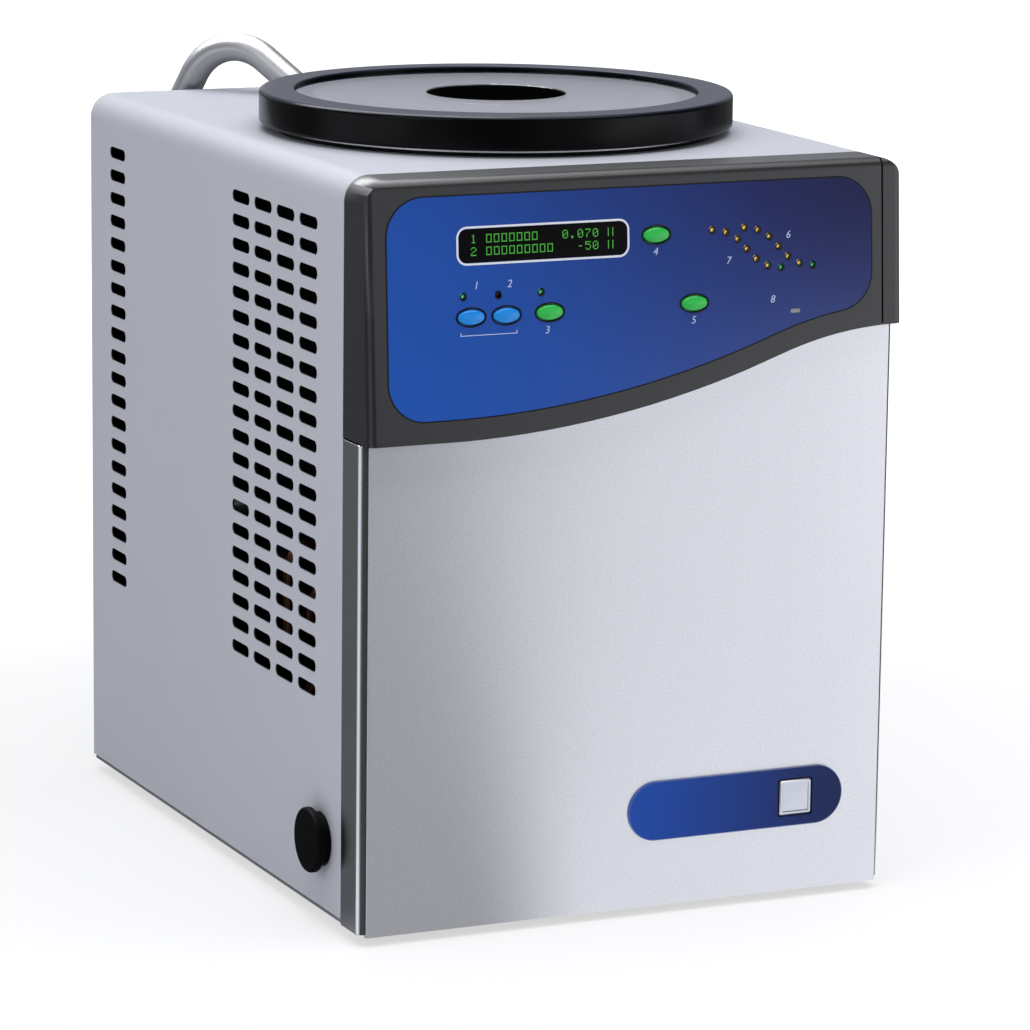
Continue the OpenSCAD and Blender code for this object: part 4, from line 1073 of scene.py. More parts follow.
class Repeat(Tree):
    """A Geometry Nodes tree that sets a shape on each point of a mesh."""

    prefix: str = ""

    def __init__(self, name: str, **inputs: str) -> None:
        """Starts the tree.

        Args:
            name: The tree's name.
            **inputs: Each named input's socket type, with _ for a space in its name.
        """
        super().__init__(bpy.data.node_groups.new(name, "GeometryNodeTree"))
        face = self.tree.interface
        for key, kind in {"Geometry": "Geometry", **inputs}.items():
            face.new_socket(key.replace("_", " "), in_out="INPUT", socket_type="NodeSocket" + kind)
        face.new_socket("Geometry", in_out="OUTPUT", socket_type="NodeSocketGeometry")
        self.inputs = self.node("NodeGroupInput").outputs

    def finish(self, shape: Socket, rotation: object) -> None:
        """Sets the shape on each point, realizes it and gives it its material.

        Args:
            shape: The repeated geometry.
            rotation: How each copy is turned.
        """
        placed = self.node("GeometryNodeInstanceOnPoints", Points=self.inputs["Geometry"], Instance=shape,
                           Rotation=rotation)
        real = self.node("GeometryNodeRealizeInstances", Geometry=placed.outputs[0])
        dressed = self.node("GeometryNodeSetMaterial", Geometry=real.outputs[0],
                            Material=self.inputs["Material"])
        self.node("NodeGroupOutput", Geometry=dressed.outputs[0])

    def bake(self, points: Sequence[Vector], **values: object) -> bpy.types.Mesh:
        """Runs the tree on a set of points.

        Args:
            points: Where the copies go.
            **values: A value for each named input.

        Returns:
            The plain mesh that comes out.
        """
        mesh = bpy.data.meshes.new("points")
        mesh.from_pydata([tuple(p) for p in points], [], [])
        obj = linked("points", mesh)
        modifier = obj.modifiers.new("repeat", "NODES")
        modifier.node_group = self.tree
        for item in self.tree.interface.items_tree:
            key = item.name.replace(" ", "_")
            if item.in_out == "INPUT" and key in values:
                modifier[item.identifier] = values[key]
        made = evaluated(obj)
        obj.modifiers.remove(modifier)
        bpy.data.objects.remove(obj)
        return made


# ---------- viewpoint and studio ----------


def turned(obj: bpy.types.Object, azimuth: float, elevation: float, roll: float = 0.0) -> Vector:
    """Turns a camera or lamp to look in from a direction.

    Args:
        obj: The camera or lamp.
        azimuth: The direction's angle from straight ahead of the machine, to its right, in degrees.
        elevation: Its angle above level, in degrees.
        roll: Turn about the line of sight, in degrees.

    Returns:
        The direction, out from the machine.
    """
    a, e = math.radians(azimuth), math.radians(elevation)
    back = Vector((math.sin(a) * math.cos(e), -math.cos(a) * math.cos(e), math.sin(e)))
    turn = Matrix.Rotation(math.radians(roll), 4, "Z").to_quaternion()
    obj.rotation_mode = "QUATERNION"
    obj.rotation_quaternion = (-back).to_track_quat("-Z", "Y") @ turn
    return back


@dataclass(frozen=True)
class Viewpoint:
    """The camera, in front of the machine's left corner and a little above it."""

    place: tuple[float, float, float] = (-1.08130, -2.40280, 0.70504)
    azimuth: float = -24.719
    elevation: float = 11.499
    roll: float = 0.7145
    lens: float = 171.65
    sensor: float = 36.0

    def build(self) -> None:
        """Makes the camera and sets it as the scene's."""
        data = bpy.data.cameras.new("viewpoint")
        data.sensor_width, data.lens = self.sensor, self.lens
        camera = linked("viewpoint", data)
        camera.location = self.place
        turned(camera, self.azimuth, self.elevation, self.roll)
        bpy.context.scene.camera = camera


@dataclass(frozen=True)
class Lamp:
    """A soft rectangular lamp, by its direction from its aim."""

    name: str
    azimuth: float
    elevation: float
    away: float
    size: tuple[float, float]
    radiance: float
    aim: tuple[float, float, float] = (0.0, 0.0, 0.2)
    diffuse: bool = True
    colour: Colour = (0.97, 0.98, 1.0)

    def build(self) -> None:
        """Hangs the lamp and points it at its aim."""
        data = bpy.data.lights.new(self.name, "AREA")
        data.shape = "RECTANGLE"
        data.size, data.size_y = self.size
        data.energy = self.radiance * math.pi * self.size[0] * self.size[1]
        data.color = self.colour
        lamp = linked(self.name, data)
        lamp.location = Vector(self.aim) + turned(lamp, self.azimuth, self.elevation) * self.away
        lamp.visible_diffuse = self.diffuse
        lamp.visible_camera = False


@dataclass(frozen=True)
class Studio:
    """Pale floor, soft lamps and a world that is white in plain view and dim in reflections."""

    reach: float = 30.0                                  # half the floor's width
    shadow: Range = (0.45, 1.3, 0.62, 1.0)               # its own glow in plain view, by distance
    grey: tuple[Colour, Colour] = ((0.84, 0.84, 0.845), (0.38, 0.38, 0.385))     # lighting others, and seen
    slant: tuple[float, float] = (0.908, 0.419)          # shares of X and Y in the way across
    across: Range = (-0.165, -0.095, 0.26, 1.06)         # its glow in reflections, from left to right
    away: Range = (-0.30, -0.50, 1.0, 0.15)              # and the share of it that is left far to the left
    ahead: Range = (-0.12, -0.20, 0.0, 1.0)              # and in front of the machine
    everywhere: float = 0.16                             # and what it has all round
    rough: float = 0.8
    glint: Range = (0.84, 0.97, 0.0, 1.2)                # a glint on the frame's left corner
    glint_way: tuple[float, float, float] = (-1.0, 0.03, 0.0)
    tint: Colour = (0.90, 0.92, 1.0)
    ambient: float = 0.42                                # the world as a light
    plain: float = 1.1                                   # and in plain view
    mirrored: Range = (0.2, 0.85, 0.10, 0.52)            # and in reflections, from front to back
    layers: Sequence[Range] = (                          # and shares of that, by height
        (0.35, 0.75, 1.0, 0.25), (0.1065, 0.1185, 0.68, 1.55), (0.122, 0.17, 1.0, 0.645),
    )
    sky: tuple[Colour, Colour] = ((0.96, 0.975, 1.0), (0.86, 0.885, 1.0))        # plain, and in reflections
    lamps: Sequence[Lamp] = (
        Lamp("overhead", 10.0, 80.0, 2.2, (2.6, 2.0), 2.55),
        Lamp("left", -62.0, 22.0, 2.6, (1.4, 1.6), 1.7),
        Lamp("front_fill", 30.0, 6.0, 2.0, (3.0, 1.6), 0.36),
        Lamp("front_card", 42.0, 4.0, 1.5, (1.1, 1.5), 0.85, aim=(0.42, -0.2, 0.1)),
        Lamp("back_high", 157.0, 68.0, 1.9, (2.6, 1.8), 12.0, aim=(-1.15, 0.38, 0.38), diffuse=False),
    )

    def build(self) -> None:
        """Makes the floor, the lamps and the world."""
        self._floor(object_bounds()[0].z)
        self._world()
        for lamp in self.lamps:
            lamp.build()

    def _floor(self, height: float) -> None:
        """Lays the floor under the feet, white in plain view but for the shadow that it holds.

        Args:
            height: The floor's level.
        """
        s = self.reach
        mesh = bpy.data.meshes.new("floor")
        mesh.from_pydata([(x, y, height) for x, y in rect(-s, -s, s, s)], [], [(0, 1, 2, 3)])
        g = Graph("floor")
        path = g.node("LightPath")
        glossy, camera = path.outputs["Is Glossy Ray"], path.outputs["Is Camera Ray"]
        distance = g.node("VectorMath", operation="LENGTH", In0=g.place).outputs["Value"]
        across = g.shares(g.axis("X"), self.slant[0], g.axis("Y"), self.slant[1])
        front = g.remap(across, *self.across, ease=True)
        for share in (g.remap(across, *self.away, ease=True), g.remap(g.axis("Y"), *self.ahead, ease=True)):
            front = g.math("MULTIPLY", front, share)
        mirrored = g.math("ADD", front, g.math("ADD", self._glint(g, height), self.everywhere))
        seen = g.math("MULTIPLY", g.remap(distance, *self.shadow), camera)
        g.paint(
            Roughness=self.rough, Specular_IOR_Level=0.0,
            Base_Color=g.between(glossy, g.between(camera, *self.grey), (0.0, 0.0, 0.0)),
            Emission_Color=g.between(glossy, (1.0, 1.0, 1.0), self.tint),
            Emission_Strength=g.math("ADD", seen, g.math("MULTIPLY", mirrored, glossy)),
        )
        mesh.materials.append(g.material)
        linked("floor", mesh)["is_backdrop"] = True

    def _glint(self, g: Graph, height: float) -> Socket:
        """A bright wedge of floor that runs out from the frame's foot.

        Args:
            g: The floor's tree.
            height: The floor's level.

        Returns:
            Its glow.
        """
        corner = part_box("front_frame")[0]
        spoke = g.node("VectorMath", operation="SUBTRACT", In0=g.place, In1=(corner.x, corner.y, height))
        way = g.node("VectorMath", operation="NORMALIZE", In0=spoke.outputs[0])
        toward = g.node("VectorMath", operation="DOT_PRODUCT", In0=way.outputs[0], In1=self.glint_way)
        return g.remap(toward.outputs["Value"], *self.glint, ease=True)

    def _world(self) -> None:
        """An even world: white where it is in plain view, dimmer as light and dim in reflections."""
        world = bpy.data.worlds.new("studio")
        world.use_nodes = True
        t = Tree(world.node_tree)
        path = t.node("LightPath")
        glossy, camera = path.outputs["Is Glossy Ray"], path.outputs["Is Camera Ray"]
        way = t.node("SeparateXYZ", Vector=t.node("TexCoord").outputs["Generated"]).outputs
        glow = t.remap(way["Y"], *self.mirrored, ease=True)
        for layer in self.layers:
            glow = t.math("MULTIPLY", glow, t.remap(way["Z"], *layer, ease=True))
        inputs = t.tree.nodes["Background"].inputs
        t.fill(inputs["Strength"], t.spread(camera, t.spread(glossy, self.ambient, glow), self.plain))
        t.fill(inputs["Color"], t.between(glossy, *self.sky))
        bpy.context.scene.world = world
        bpy.context.scene.view_settings.view_transform = "Standard"


# ---------- sub-assemblies, with sizes in millimetres and angles in degrees ----------


@dataclass(frozen=True)
class Shell:
    """Sheet-metal front: folded frame and brushed panel with softened folds."""

    fold: float = 2.6
    panel_fold: float = 1.2
    recess: float = 2.0        # the panel's edges, inside the CAD panel's

    def build(self) -> None:
        """Softens the folds of the frame and the panel."""
        bent = softened("front_frame", self.fold)
        new_piece("folded_frame", bent, Look.FRAME_STEEL, "steel", "front_frame")
        panel = softened("front_panel", self.panel_fold)
        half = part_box("front_panel")[1].x
        panel.transform(Matrix.Diagonal(((half - self.recess * MM) / half, 1.0, 1.0, 1.0)))
        new_piece("folded_panel", panel, Look.PANEL, "steel", "front_panel")


@dataclass(frozen=True)
class Lid:
    """Clear lid with a port, held in a moulded rubber ring on the chamber's flange."""

    lip: float = 97.8          # inner radius of the ring's foot
    port: float = 37.0
    foot: float = 1.6          # round lower edge
    crown: float = 2.2         # round upper edge
    slope: float = 0.3         # fall of the ring's top to its outer edge
    gap: float = 0.15          # round the lid
    corners: tuple[float, float] = (0.4, 0.7)          # the ring's inner corners, at the foot and the top
    edges: tuple[float, float] = (0.6, 0.8)            # the lid's lower and upper edges
    steps: int = 192

    def build(self) -> None:
        """Turns the ring and the lid."""
        low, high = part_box("lid_gasket")
        glass_low, glass_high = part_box("lid")
        centre = middle("lid_gasket")
        axis = Vector((centre.x, centre.y, 0.0))
        r, rim = (high.x - low.x) / 2 / MM, (glass_high.x - glass_low.x) / 2 / MM
        foot, brim, seat, top = (z / MM for z in (low.z, high.z, glass_low.z, glass_high.z))
        inner = rim + self.gap
        ring = rounded([
            (self.lip, foot, self.corners[0]), (r, foot, self.foot), (r, brim - self.slope, self.crown),
            (inner, brim, self.corners[1]), (inner, seat, 0.0), (self.lip, seat, 0.0),
        ], 6)
        under, over = self.edges
        glass = rounded([
            (self.port, seat, under), (rim, seat, under), (rim, top, over), (self.port, top, over),
        ], 4)
        new_piece("moulded_ring", lathe(ring, axis, UP, self.steps), Look.RUBBER, "rubber", "lid_gasket")
        new_piece("clear_lid", lathe(glass, axis, UP, self.steps), Look.LID, "acrylic", "lid")


@dataclass(frozen=True)
class Key:
    """Smooth domed push key with its flange and stem."""

    node: str
    look: Look
    slot: str
    across: float
    below: float
    size: tuple[float, float, float] = (14.2, 7.6, 2.6)
    crown: float = 2.3
    side: float = 0.45
    skirt: float = -2.8
    flange: tuple[float, float] = (2.0, 1.2)         # how far it stands out, and its thickness
    stem: tuple[float, float] = (2.0, -13.5)         # its radius and foot
    rings: int = 8

    def build(self, place: Place) -> None:
        """Raises the dome and hangs its flange and stem.

        Args:
            place: Turns coordinates about the key's middle and a level out of the face into a point.
        """
        w, h, e = self.size
        out, thick = self.flange
        r, foot = self.stem
        body, wide = oval(w, h, e), oval(w + 2 * out, h + 2 * out, e + out)
        stem = [(r * math.cos(t), r * math.sin(t)) for t in (math.atan2(y, x) for x, y in body)]
        under = self.skirt - thick
        layers = [(stem, foot), (stem, under), (wide, under), (wide, self.skirt), (body, self.skirt),
                  (body, self.side)]
        for t in (k / self.rings * math.pi / 2 for k in range(1, self.rings)):
            layers.append(([(x * math.cos(t), y * math.cos(t)) for x, y in body],
                           self.side + (self.crown - self.side) * math.sin(t)))
        dome = stack(layers, place, 50.0, self.crown)
        new_piece(self.node + "_dome", dome, self.look, self.slot, self.node, body=self.node)


@dataclass(frozen=True)
class VacuumLine:
    """Bent steel tube from the chamber over the cabinet's rear edge."""

    foot: tuple[float, float] = (-39.0, 147.5)
    crest: tuple[float, float, float] = (-73.9, 192.5, 39.7)       # last value above the deck
    drop: tuple[float, float] = (-90.0, 213.3)
    straight: float = -9.0     # where the last bend's corner is, from the deck
    port_deep: float = 46.0
    axis_y: float = -23.0
    chamber_r: float = 94.8
    outer: float = 8.0
    wall: float = 1.2
    bends: tuple[float, ...] = (24.0, 24.0, 32.0, 24.0)

    def build(self) -> None:
        """Sweeps the tube along its route."""
        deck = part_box("wrap_cover")[1].z / MM
        fx, fy = self.foot
        reach = self.chamber_r / math.hypot(fx, fy - self.axis_y)
        level = deck - self.port_deep
        cx, cy, rise = self.crest
        corners = [mm(fx * reach, self.axis_y + (fy - self.axis_y) * reach, level), mm(fx, fy, level),
                   mm(fx, fy, deck), mm(cx, cy, deck + rise), mm(*self.drop, deck + self.straight),
                   mm(*self.drop, level)]
        tube = swept(filleted(corners, self.bends), self.outer, self.outer - self.wall)
        new_piece("bent_tube", tube, Look.TUBE_STEEL, "satin_steel", "vacuum_tube")


@dataclass(frozen=True)
class DrainPort:
    """Rubber plug in the drain at the cabinet's side."""

    neck: float = 13.0
    bore: float = 8.7
    root: float = -14.0
    seat: float = 0.3
    head: float = 4.0
    out: float = 8.4
    dome: float = 0.6

    def build(self) -> None:
        """Turns the plug about its level axis."""
        low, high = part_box("drain_plug")
        centre = middle("drain_plug")
        origin = Vector((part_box("wrap_cover")[0].x, centre.y, centre.z))
        r = (high.z - low.z) / 2 / MM
        back = self.out - self.head
        section = rounded([
            (0.0, self.root, 0.0), (self.bore, self.root, 2.0), (self.bore, self.seat, 0.0),
            (self.neck, self.seat, 0.3), (self.neck, back, 0.8), (r, back, 0.9), (r, self.out, 1.5),
            (0.0, self.out + self.dome, 0.0),
        ])
        plug = lathe(section, origin, Vector((-1, 0, 0)), 96)
        new_piece("stopper", plug, Look.SOFT_RUBBER, "rubber", "drain_plug", body="drain_plug")


@dataclass(frozen=True)
class Badge:
    """Enamelled badge with a painted highlight along its edge, and a domed bright tile on a plate of painted
    shadow.
    """

    # width of the painted highlight along the badge's edge
    edge: float = 0.35
    shadow_plate: tuple[float, float, float] = (20.4, 1.2, 0.12)       # width, corner and thickness
    corner: float = 1.2
    rim: float = 1.5
    bevel: float = 0.5
    groove: float = 0.35
    dome: float = 0.35
    steps: int = 6

    def build(self) -> None:
        """Adds the painted edge highlight, the plate of painted shadow round the tile, and the tile."""
        front = Vector((0, -1, 0))
        edge = band(edge_of("badge_plate", front), front, 0.0, self.edge)
        new_piece("badge_edge", edge, Look.PALE_EDGE, "badge")
        low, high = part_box("badge_tile")
        centre = middle("badge_tile")
        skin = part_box("front_panel")[0].y

        def place(x: float, z: float, out: float) -> Vector:
            """Turns coordinates about the tile and a level off the panel into a point."""
            return Vector((centre.x + x * MM, skin - out * MM, centre.z + z * MM))

        # painted shadow: a near-black plate in the gap round the tile
        width, corner, thick = self.shadow_plate
        floor = prism([round_rect(width, width, corner)], 0.0, thick, place)
        new_piece("tile_well", floor, Look.DARK_EDGE, "dark")
        tile = stack(self._layers((high.x - low.x) / MM, (high.y - low.y) / MM), place, 20.0)
        new_piece("bright_tile", tile, Look.SILVER, "silver", "badge_tile")

    def _layers(self, size: float, out: float) -> list[tuple[Outline, float]]:
        """The outlines of a square tile with a raised rim, a groove and a domed middle.

        Args:
            size: Width of the tile.
            out: How far it stands out.

        Returns:
            Each outline and its level.
        """
        brow = out - 0.1
        floor = brow - self.groove
        steps = [(0.0, 0.0), (0.0, brow - self.bevel), (self.bevel, brow), (self.rim, brow),
                 (self.rim + self.bevel, floor)]
        inner = size / 2 - self.rim - self.bevel
        for t in (k / self.steps for k in range(1, self.steps)):
            steps.append((size / 2 - inner * (1 - t), floor + self.dome * math.sin(math.pi / 2 * t)))
        return [(round_rect(size - 2 * inset, size - 2 * inset, max(self.corner - inset, 0.12), 4), level)
                for inset, level in steps]


# The display's signs, each as seven rows of five dots. | is an open box and : is a pair of bars.
GLYPHS = {
    "0": "01110 10001 10011 10101 11001 10001 01110",
    "1": "00100 01100 00100 00100 00100 00100 01110",
    "2": "01110 10001 00001 00110 01000 10000 11111",
    "5": "11111 10000 11110 00001 00001 10001 01110",
    "7": "11111 00001 00010 00100 01000 01000 01000",
    "-": "00000 00000 00000 01110 00000 00000 00000",
    ".": "00000 00000 00000 00000 00000 01100 01100",
    "|": "11111 10001 10001 10001 10001 10001 11111",
    ":": "10001 10001 10001 10001 10001 10001 10001",
}


@dataclass
class ControlHead:
    """Moulded head: leaning film with keys, lamps and a dot display."""

    lean: float = 3.5
    corner: float = 5.0
    outer: tuple[float, float, float] = (4.0, 12.0, 0.5)     # its zone, in from the side, front and foot
    edge_line: tuple[float, float] = (-0.25, 0.7)            # inset from the film's edge, and width, of the painted shadow along it
    display: tuple[float, float] = (-54.0, 34.0)
    display_size: tuple[float, float, float] = (92.9, 17.1, 4.5)
    border: float = 1.15
    play: float = 0.2          # between the border and the window
    rows: Sequence[tuple[float, str]] = ((3.4, "1 |||||||   0.070 :"), (-2.9, "2 |||||||||   -50 :"))
    pitch: float = 4.19        # from one sign to the next
    indent: float = 0.4
    dot: float = 0.62          # from one dot to the next
    lit: float = 0.50          # a dot's size
    dot_level: float = -0.13
    keys: Sequence[Key] = (
        Key("menu_button", Look.GREEN_KEY, "button_green", 8.7, 33.4),
        Key("select_button", Look.GREEN_KEY, "button_green", 29.9, 69.1),
        Key("vacuum_button", Look.GREEN_KEY, "button_green", -51.0, 69.3),
        Key("auto_button", Look.BLUE_KEY, "button_blue", -94.1, 69.5),
        Key("manual_button", Look.BLUE_KEY, "button_blue", -74.8, 69.5),
    )
    key_shadow: tuple[float, float] = (1.35, 0.70)      # outer and inner edge, out from the key, of the painted shade round it
    lamp_shadow: tuple[float, float] = (1.95, 1.25)     # and their radii round a lamp
    labels: Sequence[tuple[float, float, str]] = (
        (-91.3, 53.9, "1"), (-73.0, 53.9, "2"), (-52.6, 78.2, "3"), (8.1, 42.0, "4"), (29.3, 77.8, "5"),
        (83.6, 37.0, "6"), (49.4, 48.6, "7"), (74.5, 69.6, "8"),
    )
    label_height: float = 3.8
    figure: float = 0.7                              # a figure's share of its font's size
    label_depth: float = 0.03
    slope: float = 0.2
    bracket: tuple[float, float] = (-84.5, 78.6)
    bars: Sequence[tuple[float, float, float, float]] = (
        (-15.5, -0.2, 15.5, 0.2), (-15.5, 0.2, -15.1, 1.6), (15.1, 0.2, 15.5, 1.6),
    )
    bar_levels: tuple[float, float] = (0.08, 0.15)

    def __post_init__(self) -> None:
        """Finds the leaning face from the head's own box."""
        self.tilt = math.radians(self.lean)
        self.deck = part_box("wrap_cover")[1].z
        self.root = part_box("control_bezel")[0]
        self.out = Vector((0, -math.cos(self.tilt), math.sin(self.tilt)))
        self.up = Vector((0, math.sin(self.tilt), math.cos(self.tilt)))

    def at(self, across: float, below: float) -> Place:
        """Makes the placing function of a spot on the face.

        Args:
            across: The spot's distance right of the middle.
            below: Its distance below the deck.

        Returns:
            A function from coordinates about the spot, and a level out of the face, to a point.
        """
        z = self.deck - below * MM
        y = self.root.y + (z - self.root.z) * math.tan(self.tilt)

        def place(x: float, u: float, level: float) -> Vector:
            """Turns coordinates on the face and a level out of it into a point."""
            return Vector(((across + x) * MM, y, z)) + self.up * (u * MM) + self.out * (level * MM)

        return place

    def build(self) -> None:
        """Softens the moulding and adds the display, the keys, the painted shade round the keys, lamps and
        film, and the numerals.
        """
        self._moulding()
        self._display()
        self._keys()
        self._rims()
        # painted shade: a dark line along the film's edge, where its gap lies in shade
        edge = band(edge_of("control_overlay", self.out), self.out, *self.edge_line)
        new_piece("film_edge", edge, Look.DARK_EDGE, "dark")
        self._labels()

    def _moulding(self) -> None:
        """Rounds the moulding's upright outer edges."""
        side, front, foot = self.root + mm(*self.outer)

        def upright(spot: Vector) -> bool:
            """Says whether an edge with this middle is one of the upright outer ones."""
            return spot.x < side and spot.y < front and spot.z > foot

        mesh = softened("control_bezel", self.corner, 5, 50.0, upright, 62.0)
        new_piece("head_moulding", mesh, Look.HEAD, "bezel", "control_bezel")

    def _display(self) -> None:
        """White border and green dots."""
        w, h, r = self.display_size
        place = self.at(*self.display)
        b = self.border
        loops = [round_rect(w + 2 * b, h + 2 * b, r + b), round_rect(w + self.play, h + self.play, r)]
        new_piece("display_border", prism(loops, *PRINT, place), Look.WHITE_INK, "display")
        spots = []
        for level, text in self.rows:
            start = -(len(text) * self.pitch) / 2 + self.indent
            for i, sign in enumerate(text):
                for row, bits in enumerate(GLYPHS.get(sign, "").split()):
                    spots += [place(start + i * self.pitch + column * self.dot, level + (3 - row) * self.dot,
                                    self.dot_level) for column, bit in enumerate(bits) if bit == "1"]
        tree = Repeat("lit_dots", Dot_Size="Float", Lean="Float", Material="Material")
        grid = tree.node("GeometryNodeMeshGrid", Size_X=tree.inputs["Dot Size"],
                         Size_Y=tree.inputs["Dot Size"], Vertices_X=2, Vertices_Y=2)
        turn = tree.node("ShaderNodeCombineXYZ", X=tree.inputs["Lean"])
        tree.finish(grid.outputs["Mesh"], turn.outputs[0])
        dots = tree.bake(spots, Dot_Size=self.lit * MM, Lean=math.pi / 2 - self.tilt,
                         Material=Look.LIT_DOT.material)
        new_piece("display_dots", dots, Look.LIT_DOT, "green")

    def _keys(self) -> None:
        """Sets each key in its place."""
        for key in self.keys:
            key.build(self.at(key.across, key.below))

    def _rims(self) -> None:
        """Painted shade: dark rings round the keys and the lamps, where the gaps round them lie in shade."""
        shadows = []
        for key in self.keys:
            w, h, e = key.size
            ovals = [oval(w + 2 * out, h + 2 * out, e + out) for out in self.key_shadow]
            shadows.append(prism(ovals, *PRINT, self.at(key.across, key.below)))
        circles = [circle(r) for r in self.lamp_shadow]
        for node in ("amber_leds", "green_leds", "unlit_led"):
            for low, high in islands(node):
                spot = (low + high) / 2
                shadows.append(prism(circles, *PRINT, self.at(spot.x / MM, (self.deck - spot.z) / MM)))
        new_piece("key_rims", joined(shadows), Look.DARK_EDGE, "dark")

    def _labels(self) -> None:
        """Plain numerals by the keys and lamps, and a bracket under the two blue keys."""
        parts = [self._numeral(text, self.at(x, below)) for x, below, text in self.labels]
        parts += [prism([rect(*bar)], *self.bar_levels, self.at(*self.bracket)) for bar in self.bars]
        new_piece("numerals", joined(parts), Look.PALE_INK, "grey")

    def _numeral(self, text: str, place: Place) -> bpy.types.Mesh:
        """A numeral as a thin raised print.

        Args:
            text: The numeral.
            place: Where it goes on the face.

        Returns:
            Its mesh, with its place in it.
        """
        data = bpy.data.curves.new("numeral", "FONT")
        data.body = text
        data.size = self.label_height / self.figure
        data.align_x, data.align_y = "CENTER", "CENTER"
        data.extrude, data.shear, data.resolution_u = self.label_depth, self.slope, 3
        obj = linked("numeral", data)
        mesh = evaluated(obj)
        bpy.data.objects.remove(obj)
        for vertex in mesh.vertices:
            x, y, z = vertex.co
            vertex.co = place(x, y, sum(PRINT) / 2 + z)
        return mesh


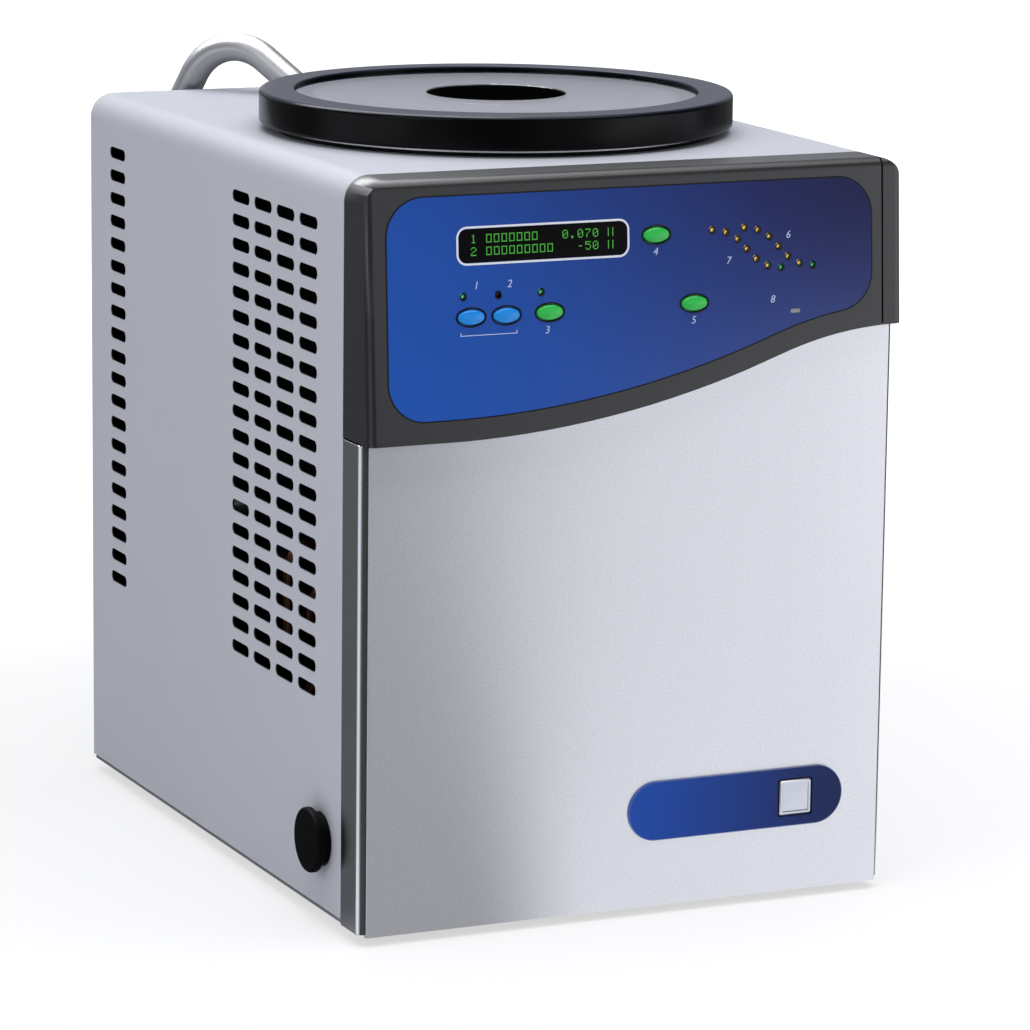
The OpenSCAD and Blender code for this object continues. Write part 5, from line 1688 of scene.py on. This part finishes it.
@dataclass(frozen=True)
class Rear:
    """Back of the cabinet: cross-recessed screws and the rocker's two marks."""

    head_r: float = 3.3
    head_h: float = 2.1
    brow: float = 0.35                                         # the dome's foot, as a share of that height
    shank: tuple[float, float] = (1.5, 4.4)                    # radius and length
    cross: tuple[float, float, float] = (3.6, 0.8, 1.2)        # length, width and depth of its cuts
    axle: float = 6.0          # the rocker's axle, in from the back panel's skin
    tip: float = 10.0          # how far the rocker leans at rest, in degrees
    flat: tuple[float, float, float] = (10.6, 1.9, 6.1)        # a flat's run, its rise, and its level
    mark: tuple[float, float] = (0.02, 0.10)                   # back and front of the printed marks
    bar: tuple[float, float, float] = (0.9, 5.0, 0.2)          # width, height and corner
    ring: tuple[float, float] = (2.5, 1.7)                     # outer and inner radius

    def build(self) -> None:
        """Sets the screws and prints the marks."""
        self._screws()
        self._marks()

    def _screws(self) -> None:
        """Replaces the plain screws by ones with a cross recess."""
        tree = Repeat("cross_screws", Screw="Object", Material="Material")
        info = tree.node("GeometryNodeObjectInfo", Object=tree.inputs["Screw"])
        tree.finish(info.outputs["Geometry"], (0.0, 0.0, 0.0))
        template = self._template()
        seats = [Vector(((low.x + high.x) / 2, high.y - self.head_h * MM, (low.z + high.z) / 2))
                 for low, high in islands("panel_screws")]
        mesh = tree.bake(seats, Screw=template, Material=Look.SATIN_STEEL.material)
        bpy.data.objects.remove(template)
        new_piece("cross_screws", shade(mesh, 35.0), Look.SATIN_STEEL, "satin_steel", "panel_screws")

    def _template(self) -> bpy.types.Object:
        """One screw with its head's seat at the origin, looking along +Y.

        Returns:
            The screw.
        """
        r, h = self.head_r, self.head_h
        thin, long = self.shank
        turns = [k * math.pi / 16 for k in range(8)]
        dome = [(r * math.cos(t), h * (self.brow + (1.0 - self.brow) * math.sin(t))) for t in turns]
        section = [(0.0, -long), (thin, -long), (thin, 0.0), (r, 0.0), *dome, (0.0, h)]
        screw = linked("screw", lathe(section, Vector(), Vector((0, 1, 0)), 40))
        length, width, deep = self.cross
        cutters = []
        for x, z in ((length / 2, width / 2), (width / 2, length / 2)):
            bar = prism([rect(-x, -z, x, z)], h - deep, h + 1.0, lambda a, b, level: mm(a, level, b))
            cutters.append(linked("cut", bar))
            cut = screw.modifiers.new("recess", "BOOLEAN")
            cut.operation, cut.solver, cut.object = "DIFFERENCE", "EXACT", cutters[-1]
        mesh = evaluated(screw)
        screw.modifiers.clear()
        screw.data = mesh
        for cutter in cutters:
            bpy.data.objects.remove(cutter)
        return screw

    def _marks(self) -> None:
        """A bar and a ring printed on the rocker's two flats."""
        bar = prism([round_rect(*self.bar, 3)], *self.mark, self._flat(1.0))
        ring = prism([circle(r) for r in self.ring], *self.mark, self._flat(-1.0))
        new_piece("rocker_marks", joined([bar, ring]), Look.WHITE_INK, "grey", body="rocker")

    def _flat(self, side: float) -> Place:
        """Makes the placing function of one of the rocker's flats.

        Args:
            side: 1 for the upper flat, -1 for the lower.

        Returns:
            A function from coordinates about the flat's middle, and a level off it, to a point.
        """
        centre = middle("switch_rocker")
        axle = Vector((centre.x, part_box("back_panel")[1].y - self.axle * MM, centre.z))
        length, rise, height = self.flat
        lean = math.radians(self.tip)
        slope = side * math.atan2(rise, length)

        def place(x: float, u: float, level: float) -> Vector:
            """Turns coordinates on the flat into a point.

            Args:
                x: Across the rocker.
                u: Up the flat, from its middle.
                level: Height off the flat.

            Returns:
                The point.
            """
            run = side * length / 2 + u * math.cos(slope)
            y = height + abs(run) * rise / length + level
            return axle + mm(x, y * math.cos(lean) - run * math.sin(lean),
                             y * math.sin(lean) + run * math.cos(lean))

        return place


# ---------- CAD nodes that are shown as they are ----------


PLAIN = {
    Look.PAINT: ("back_panel",),
    Look.COVER: ("wrap_cover",),
    Look.CHAMBER: ("collector_chamber",),
    Look.SATIN_STEEL: ("hose_nipple", "vacuum_sensor", "compressor_bolts", "board_standoffs", "fan_shaft"),
    Look.ZINC: ("base_pan", "control_bulkhead", "fan_bracket", "electrical_box"),
    Look.HEAD: ("bezel_end_cap",),
    Look.RUBBER: ("chamber_collar",),
    Look.SOFT_RUBBER: ("feet", "tube_grommet", "compressor_grommets"),
    Look.FOAM: ("insulation",),
    Look.BLACK_PAINT: ("compressor", "fan_shroud"),
    Look.BLACK_PLASTIC: ("drain_fitting", "power_inlet", "pump_outlet", "switch_housing", "switch_rocker"),
    Look.COPPER: ("collector_coil", "condenser_bends", "discharge_line", "suction_line", "liquid_line",
                  "filter_drier"),
    Look.FIN: ("condenser", "fan_rotor"),
    Look.MOTOR: ("fan_motor",),
    Look.BOARD: ("control_board", "display_module"),
    Look.TUBING: ("drain_tube",),
    Look.WINDOW: ("display_window",),
    Look.GREY_LENS: ("alarm_lens",),
    Look.DARK_LAMP: ("unlit_led",),
    Look.FILM: ("control_overlay",),
    Look.BADGE: ("badge_plate",),
    Look.AMBER_LAMP: ("amber_leds",),
    Look.GREEN_LAMP: ("green_leds",),
}


def dress() -> None:
    """Gives every plain CAD node its finish."""
    for look, nodes in PLAIN.items():
        for node in nodes:
            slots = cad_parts[node].data.materials
            slots.clear()
            slots.append(look.material)


def main() -> None:
    """Builds the machine's looks in order and reports each piece."""
    logging.basicConfig(level=logging.INFO, format="%(message)s")
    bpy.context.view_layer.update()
    Viewpoint().build()
    Studio().build()
    dress()
    for assembly in (Shell(), ControlHead(), Badge(), Lid(), VacuumLine(), DrainPort(), Rear()):
        assembly.build()


if __name__ == "__main__":
    main()
